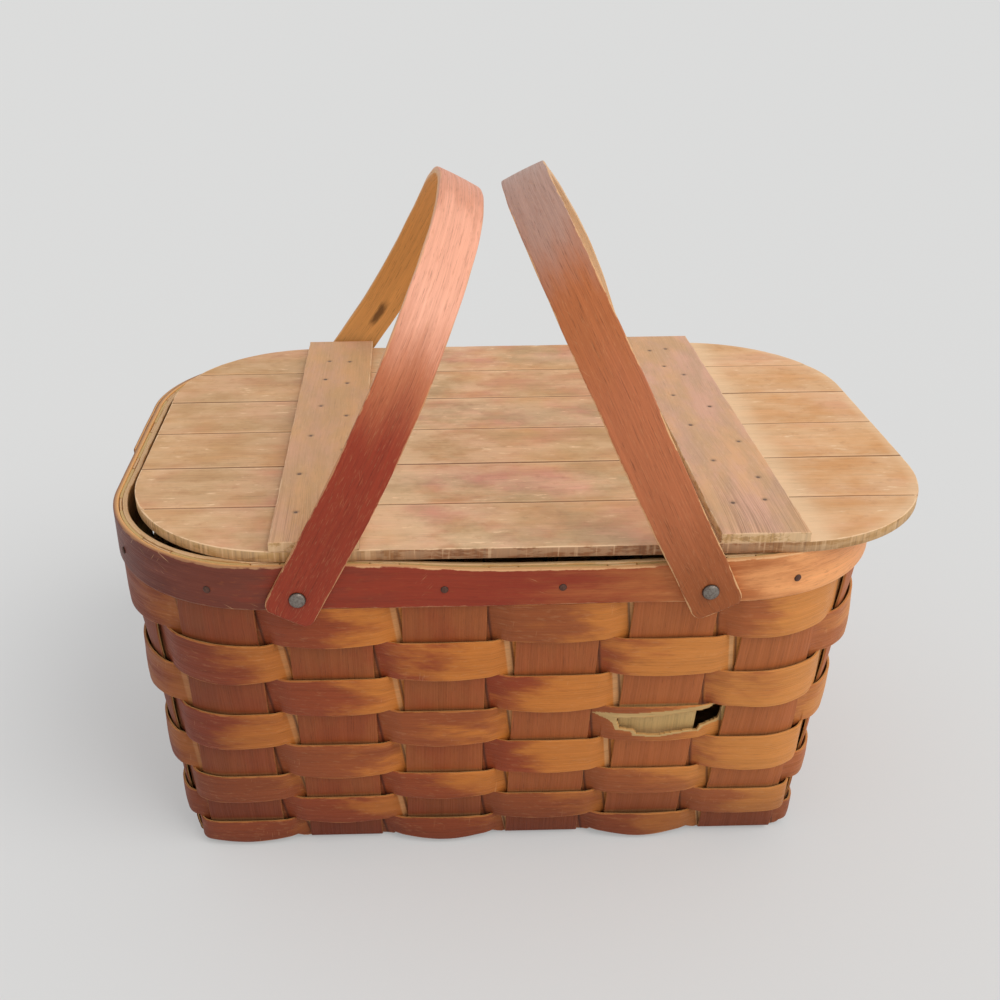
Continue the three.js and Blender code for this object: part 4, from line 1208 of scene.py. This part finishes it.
def rim_wood(wood):
    """Outer band: purple-brown at the left, deep red, then tan at the right, partly stain and partly painted
    shade at the left and painted light at the right, with a pale worn top edge.
    """
    wood.begin(band_width=1.4, flow=1.2)
    patches, spots = wood.patches(20.0, 90.0, seed=9.0)
    # Left to right: partly stain, partly painted shade at the left end and painted light at the right.
    across = wood.total(wood.x, (patches, 0.05))
    wood.base = wood.mix(wood.span(across, -0.2, -0.14), "dark_stain_and_shade", "plum")
    wood.lay("stain_red", wood.span(across, -0.14, -0.05))
    wood.lay("pale_stain_and_light", wood.span(across, 0.01, 0.13))
    wood.lay("rim_tan", wood.span(across, 0.1, 0.2))
    wood.lay("stain_brown", spots, 0.3)
    wood.lay("inner_amber", wood.value("bare"))
    wood.base = wood.darker(wood.base, 0.14, 0.2, 0.1)
    wear = wood.product(wood.wear(0.0013), wood.span(wood.value("tone"), 0.0, 0.8, 0.3, 0.8))
    top = wood.product(wood.span(wood.facing, 0.5, 0.9), wood.span(patches, 0.0, 1.0, 0.35, 0.85))
    wood.lay("worn", wood.math("MAXIMUM", wear, top), wood.span(wood.x, -0.2, -0.05, 0.35, 1.0))
    wood.lay("worn", wood.scratches(), 0.6)
    wood.finish_wood(0.46, 0.25)


def inner_wood(wood):
    """Inner band and filler: bare golden wood, paler on top, browner towards the left."""
    wood.begin(band_width=1.4, flow=1.0)
    patches, _ = wood.patches(12.0, 80.0, seed=1.0)
    wood.base = wood.mix(patches, "inner_amber", "cream")
    wood.lay("cream", wood.span(wood.facing, 0.5, 0.9, 0.0, 0.7))
    wood.lay("lid_brown", wood.span(wood.x, -0.06, -0.2, 0.0, 0.5))
    wood.base = wood.darker(wood.base)
    wood.lay("lid_pale", wood.wear(0.0012), 0.5)
    wood.finish_wood(0.62)


def knot_in(tree, vector, heart, reach, width):
    """Mask of an elongated knot round its heart in the grain, with a blurred outline."""
    away = tree.add("ShaderNodeVectorMath", vector, heart, operation="SUBTRACT").outputs[0]
    away = tree.stretch(away, 1 / reach, 1 / width, 0.0)
    bent = tree.noise(tree.stretch(vector, 90.0, 300.0, 1.0), 1.0, 3.0)
    size = tree.math("ADD", tree.add("ShaderNodeVectorMath", away, operation="LENGTH").outputs["Value"], bent)
    return tree.span(size, 1.5, 0.75)


def handle_wood(wood):
    """Handles: deep red at the rivets, orange-brown in the middle, bleached towards the crown, where the left
    handle's upper part also has a painted highlight, amber inside.
    """
    wood.begin(band_width=0.7, flow=0.5)
    tint = wood.value("tint")
    patches, spots = wood.patches(14.0, 70.0, seed=3.0)
    climb = wood.total(0.035, (wood.value("tone"), 1.0), (patches, 0.05))
    left = wood.mix(wood.span(climb, 0.5, 0.75), "stain_red", "orange")
    # Upper part of the left handle: bleached stain and a painted highlight.
    left = wood.mix(wood.span(climb, 0.68, 0.88), left, "salmon_and_highlight")
    left = wood.mix(wood.span(climb, 0.99, 1.05, 0.0, 0.4), left, "orange")
    right = wood.mix(wood.span(climb, 0.0, 0.45), "stain_brown", "orange")
    right = wood.mix(wood.span(climb, 0.62, 0.8, 0.0, 0.6), right, "pale_stain_and_light")
    right = wood.mix(wood.span(climb, 0.84, 1.04), right, "mauve")
    wood.base = wood.mix(tint, left, right)
    wood.lay("stain_brown", spots, 0.16)
    wood.lay(wood.mix(tint, "inner_amber", "lid_pale"), wood.value("bare"))
    wood.base = wood.darker(wood.base, 0.16, 0.3, 0.08)
    flecks = wood.noise(wood.stretch(wood.along, 210.0, 1900.0, 1.0), 1.0, 2.0, 0.5)
    wood.lay("worn", wood.span(flecks, 0.56, 0.74, 0.0, 0.13))
    knot = knot_in(wood, wood.along, (0.532, 0.402, 0.0), 0.016, 0.0045)
    wood.lay("dirt_and_shade", knot, wood.math("SUBTRACT", 1.0, tint), 0.75)
    wood.lay("worn", wood.wear(0.0009), wood.span(tint, 0.0, 1.0, 0.5, 0.85))
    wood.lay("worn", wood.scratches(), 0.25)
    wood.finish_wood(0.44, 0.3)


def lid_wood(wood):
    """Lid boards: a soft patchwork of tan, rose and olive, with pale flecks, dark joints and sawn edges."""
    wood.begin(band_width=1.6, flow=1.4)
    lines, x = wood.value("tone"), wood.x
    rose, _ = wood.patches(15.0, 21.0, seed=4.0)
    olive, olive_spots = wood.patches(17.0, 23.0, seed=7.0)
    chalk, _ = wood.patches(26.0, 44.0, seed=11.0)
    strips = wood.noise(wood.stretch(wood.place, 1.5, 17.0, 0.0), 1.0, 1.0)
    wood.base = wood.mix(rose, "lid_tan", "lid_rose")
    wood.lay("lid_olive", olive, 0.8)
    wood.lay("lid_gold", wood.span(strips, 0.4, 0.6, 0.0, 0.5))
    wood.lay("lid_gold", wood.span(x, -0.1, -0.17, 0.0, 0.6))
    wood.lay("lid_warm", wood.span(x, 0.1, 0.17, 0.0, 0.6))
    wood.lay("honey", wood.span(x, 0.155, 0.185, 0.0, 0.5), olive)
    clean = wood.total(-0.088, (x, -1.0), (chalk, 0.05))
    wood.lay("lid_pale", wood.span(clean, -0.06, 0.02), wood.span(x, -0.1, -0.09), 0.45)
    wood.lay("lid_pale", chalk, 0.38)
    wood.lay("lid_brown", olive_spots, 0.2)
    # Pale strip past the right batten's right side: partly rubbed wood, partly a painted highlight.
    past = wood.math("SUBTRACT", x, 0.1485)
    halo = wood.span(wood.total(past, (rose, 0.02)), -0.002, 0.004)
    halo = wood.product(wood.span(past, 0.022, 0.002), halo, 0.9)
    rubbed = wood.product(wood.span(wood.value("edge"), 0.008, 0.001, 0.0, 0.5), wood.span(x, 0.15, 0.2))
    wood.lay("lid_pale", wood.math("MAXIMUM", halo, rubbed))
    wood.base = wood.darker(wood.base, 0.1, 0.16, 0.07)
    flecks = wood.noise(wood.stretch(wood.along, 75.0, 330.0, 3.0), 1.0, 3.0, 0.6)
    wood.lay("lid_pale", wood.span(flecks, 0.6, 0.7), wood.span(chalk, 0.35, 0.8), 0.85)
    wood.lay("joint", wood.span(lines, 0.00075, 0.00035, 0.0, 0.72))
    wood.lay("lid_pale", wood.span(lines, 0.0008, 0.0012), wood.span(lines, 0.0022, 0.0014, 0.0, 0.35))
    wood.saw(wood.product(wood.span(x, -0.12, -0.05), wood.span(x, 0.2, 0.1, 0.0, 0.95)))
    wood.lay("lid_pale", wood.wear(0.0011), wood.span(wood.facing, 0.2, 0.6, 0.25, 0.8))
    wood.finish_wood(0.62, 0.4)


def batten_wood(wood):
    """Battens: greyer pink-brown with fine dark grain towards the front, dull smudges round the nails."""
    wood.begin(band_width=0.8, flow=1.6)
    rose, _ = wood.patches(16.0, 40.0, seed=6.0)
    olive, olive_spots = wood.patches(20.0, 60.0, seed=13.0)
    wood.base = wood.mix(rose, "batten", "batten_rose")
    wood.lay("lid_olive", olive, 0.42)
    wood.lay("lid_pale", olive_spots, 0.2)
    wood.lay("lid_gold", wood.span(wood.x, 0.0, -0.1, 0.0, 0.35))
    wood.lay("mauve", wood.span(wood.x, 0.0, 0.1, 0.0, 0.14))
    wood.base = wood.darker(wood.base, 0.05, 0.12, 0.03)
    front = wood.span(wood.value("tone"), 0.3, 0.0, 0.0, 0.4)
    wood.lay("joint", wood.grain["Bands"], wood.span(wood.grain["Fibres"], 0.7, 0.3), front)
    wood.lay("old_nail", wood.span(wood.value("tint"), 0.1, 0.9, 0.0, 0.6))
    wood.saw(0.0)
    wood.lay("lid_pale", wood.wear(0.0009), 0.6)
    wood.finish_wood(0.62, 0.4)


def metal(paint, main, rough, metallic, spots):
    """Old metal: a dull base with darker pits, and a dark rim that is partly dirt and partly painted shade.
    """
    pits = paint.noise(paint.add("ShaderNodeTexCoord").outputs["Object"], 900.0, 4.0, 0.7)
    paint.base = paint.mix(paint.span(pits, 0.4, 0.7, 0.0, spots), main, "dirt_and_shade")
    # Dark ring round each head's rim: dirt and painted shade.
    paint.lay("dirt_and_shade", paint.span(paint.value("edge"), 0.0008, 0.0, 0.0, 0.8))
    paint.shader["Metallic"].default_value = metallic
    paint.finish(paint.span(pits, 0.3, 0.7, rough - 0.1, rough + 0.15), pits, 0.3, 0.0003)


MATERIALS = {
    "Weaver Splint": (weaver_wood,),
    "Upright Splint": (upright_wood,),
    "Rim Band": (rim_wood,),
    "Inner Band": (inner_wood,),
    "Bent Handle": (handle_wood,),
    "Lid Boards": (lid_wood,),
    "Lid Battens": (batten_wood,),
    "Rivet Metal": (metal, "steel", 0.42, 0.75, 0.5),
    "Nail Metal": (metal, "iron", 0.6, 0.15, 0.6),
    "Worn Nail Metal": (metal, "old_nail", 0.6, 0.2, 0.3),
}


# Stage


def stage_floor(colours):
    """A wide plain floor that takes the object's shadow, and is a little lit except under the base."""
    reach = 16.0
    mesh = bpy.data.meshes.new("floor")
    corners = [(-reach, -reach, 0), (reach, -reach, 0), (reach, reach, 0), (-reach, reach, 0)]
    mesh.from_pydata(corners, [], [(0, 1, 2, 3)])
    floor = bpy.data.objects.new("floor", mesh)
    bpy.context.scene.collection.objects.link(floor)
    material = bpy.data.materials.new("Plain Floor")
    material.use_nodes = True
    paint = Paint(material.node_tree)
    shown = [part * factor for part, factor in zip(colours.backdrop, (1.03, 1.04, 1.05))]
    paint.put(paint.shader["Base Color"], shown)
    paint.shader["Roughness"].default_value = 1.0
    paint.shader["Specular IOR Level"].default_value = 0.0
    even_light = paint.add("ShaderNodeEmission", "backdrop")
    place = paint.add("ShaderNodeSeparateXYZ", paint.add("ShaderNodeTexCoord").outputs["Object"]).outputs
    base_length, base_depth, fade = 0.180, 0.104, 0.006
    along = paint.math("ABSOLUTE", paint.math("SUBTRACT", place["X"], basket_x))
    along = paint.span(along, base_length, base_length + fade)
    across = paint.span(paint.math("ABSOLUTE", place["Y"]), base_depth, base_depth + fade)
    seen = paint.add("ShaderNodeLightPath").outputs["Is Camera Ray"]
    glow = paint.product(seen, paint.math("MAXIMUM", along, across), 0.4)
    dull = material.node_tree.nodes["Principled BSDF"].outputs[0]
    both = paint.add("ShaderNodeMixShader", glow, dull, even_light.outputs[0])
    paint.put(material.node_tree.nodes["Material Output"].inputs["Surface"], both.outputs[0])
    mesh.materials.append(material)


def stage_world():
    """A plain soft world light, seen as the backdrop's colour by the camera and by gloss and glass."""
    world = bpy.data.worlds.new("Studio")
    bpy.context.scene.world = world
    world.use_nodes = True
    tree = Tree(world.node_tree)
    background = world.node_tree.nodes["Background"]
    rays = tree.add("ShaderNodeLightPath").outputs
    seen = tree.math("MAXIMUM", rays["Is Glossy Ray"], rays["Is Transmission Ray"])
    seen = tree.math("MAXIMUM", rays["Is Camera Ray"], seen)
    tree.put(background.inputs["Color"], tree.mix(seen, (0.68, 0.68, 0.685), "backdrop"))
    background.inputs["Strength"].default_value = 1.0


def stage_sun(name, direction, strength, width, tint):
    """A soft distant light that shines from a direction."""
    light = bpy.data.lights.new(name, "SUN")
    light.energy = strength
    light.angle = np.radians(width)
    light.color = tint
    lamp = bpy.data.objects.new(name, light)
    lamp.rotation_euler = Vector(direction).to_track_quat("Z", "Y").to_euler()
    bpy.context.scene.collection.objects.link(lamp)


def stage_camera():
    """The photograph's camera: it looks down at the basket from a little left of its front."""
    azimuth, elevation, roll = (np.radians(angle) for angle in (-0.807, 27.817, -0.707))
    target = np.array([-0.0486, 0, 0.1825])
    distance, lens_to_sensor = 0.759, 1.150
    level = np.cos(elevation)
    back = np.array([np.sin(azimuth) * level, -np.cos(azimuth) * level, np.sin(elevation)])
    right = np.cross(-back, [0, 0, 1.0])
    right /= np.linalg.norm(right)
    up = np.cross(back, right)
    camera_right = right * np.cos(roll) + up * np.sin(roll)
    camera_up = up * np.cos(roll) - right * np.sin(roll)
    data = bpy.data.cameras.new("photograph_view")
    data.sensor_width = 36.0
    data.lens = lens_to_sensor * data.sensor_width
    data.shift_x = 0.07
    data.shift_y = 0.005
    data.clip_end = 60.0
    camera = bpy.data.objects.new("photograph_view", data)
    turn = Matrix((camera_right, camera_up, back)).transposed().to_4x4()
    camera.matrix_world = Matrix.Translation(target + back * distance) @ turn
    bpy.context.scene.collection.objects.link(camera)
    bpy.context.scene.camera = camera


# Operators


class BASKET_OT_uprights(bpy.types.Operator):
    """Builds the uprights that run down, under and up the basket."""

    bl_idname = "basket.uprights"
    bl_label = "Uprights"

    def execute(self, context):
        wall = Wall(context.scene.basket_sizes)
        for i in range(CROSS):
            cross_upright(wall, i)
        for j in range(END):
            end_upright(wall, j)
        return {"FINISHED"}


class BASKET_OT_weavers(bpy.types.Operator):
    """Builds the eight woven rows, one of them torn."""

    bl_idname = "basket.weavers"
    bl_label = "Weavers"

    def execute(self, context):
        wall = Wall(context.scene.basket_sizes)
        for row in range(ROWS):
            weaver(wall, row)
        return {"FINISHED"}


class BASKET_OT_rim(bpy.types.Operator):
    """Builds the rim bands, their nails, and the rivets that carry the handles."""

    bl_idname = "basket.rim"
    bl_label = "Rim and Rivets"

    def execute(self, context):
        wall = Wall(context.scene.basket_sizes)
        rim(wall)
        rim_nails(wall)
        rivets(wall)
        return {"FINISHED"}


class BASKET_OT_handles(bpy.types.Operator):
    """Builds the two bent handles at their resting lean."""

    bl_idname = "basket.handles"
    bl_label = "Handles"

    def execute(self, context):
        wall = Wall(context.scene.basket_sizes)
        handle(wall, "left", -1, np.radians(27.50), 0.011)
        handle(wall, "right", 1, np.radians(-25.99), 0.009)
        return {"FINISHED"}


class BASKET_OT_lid(bpy.types.Operator):
    """Builds the lid: three scored boards, two battens and their nails."""

    bl_idname = "basket.lid"
    bl_label = "Lid"

    def execute(self, context):
        sizes = context.scene.basket_sizes
        for number, place in enumerate(("front", "middle", "back")):
            lid_board(sizes, number, place)
        for side, seed in (("left", 51), ("right", 57)):
            batten(side, seed)
            batten_nails(side)
        return {"FINISHED"}


class BASKET_OT_stage(bpy.types.Operator):
    """Sets up the plain floor, the soft light and the photograph's camera."""

    bl_idname = "basket.stage"
    bl_label = "Stage"

    def execute(self, context):
        stage_floor(context.scene.basket_colours)
        stage_world()
        stage_sun("key", (0.75, -0.55, 1.0), 1.35, 40.0, (1.0, 0.98, 0.95))
        stage_camera()
        context.scene.view_settings.view_transform = "Standard"
        return {"FINISHED"}


class BASKET_PT_panel(bpy.types.Panel):
    """Lists the basket's steps, sizes and colours."""

    bl_idname = "BASKET_PT_panel"
    bl_label = "Picnic Basket"
    bl_space_type = "VIEW_3D"
    bl_region_type = "UI"
    bl_category = "Basket"

    def draw(self, context):
        for step in STEPS:
            self.layout.operator(step.bl_idname)
        for group in (context.scene.basket_sizes, context.scene.basket_colours):
            column = self.layout.column()
            for name in group.__annotations__:
                column.prop(group, name)


STEPS = (
    BASKET_OT_uprights, BASKET_OT_weavers, BASKET_OT_rim, BASKET_OT_handles, BASKET_OT_lid, BASKET_OT_stage,
)
CLASSES = (BasketSizes, BasketColours, *STEPS, BASKET_PT_panel)


def register():
    for item in CLASSES:
        bpy.utils.register_class(item)
    bpy.types.Scene.basket_sizes = bpy.props.PointerProperty(type=BasketSizes)
    bpy.types.Scene.basket_colours = bpy.props.PointerProperty(type=BasketColours)


def unregister():
    del bpy.types.Scene.basket_colours
    del bpy.types.Scene.basket_sizes
    for item in reversed(CLASSES):
        bpy.utils.unregister_class(item)


def main():
    """Registers the add-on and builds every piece."""
    register()
    bpy.ops.basket.uprights()
    bpy.ops.basket.weavers()
    bpy.ops.basket.rim()
    bpy.ops.basket.handles()
    bpy.ops.basket.lid()
    bpy.ops.basket.stage()
    bpy.context.view_layer.update()


if __name__ == "__main__":
    main()
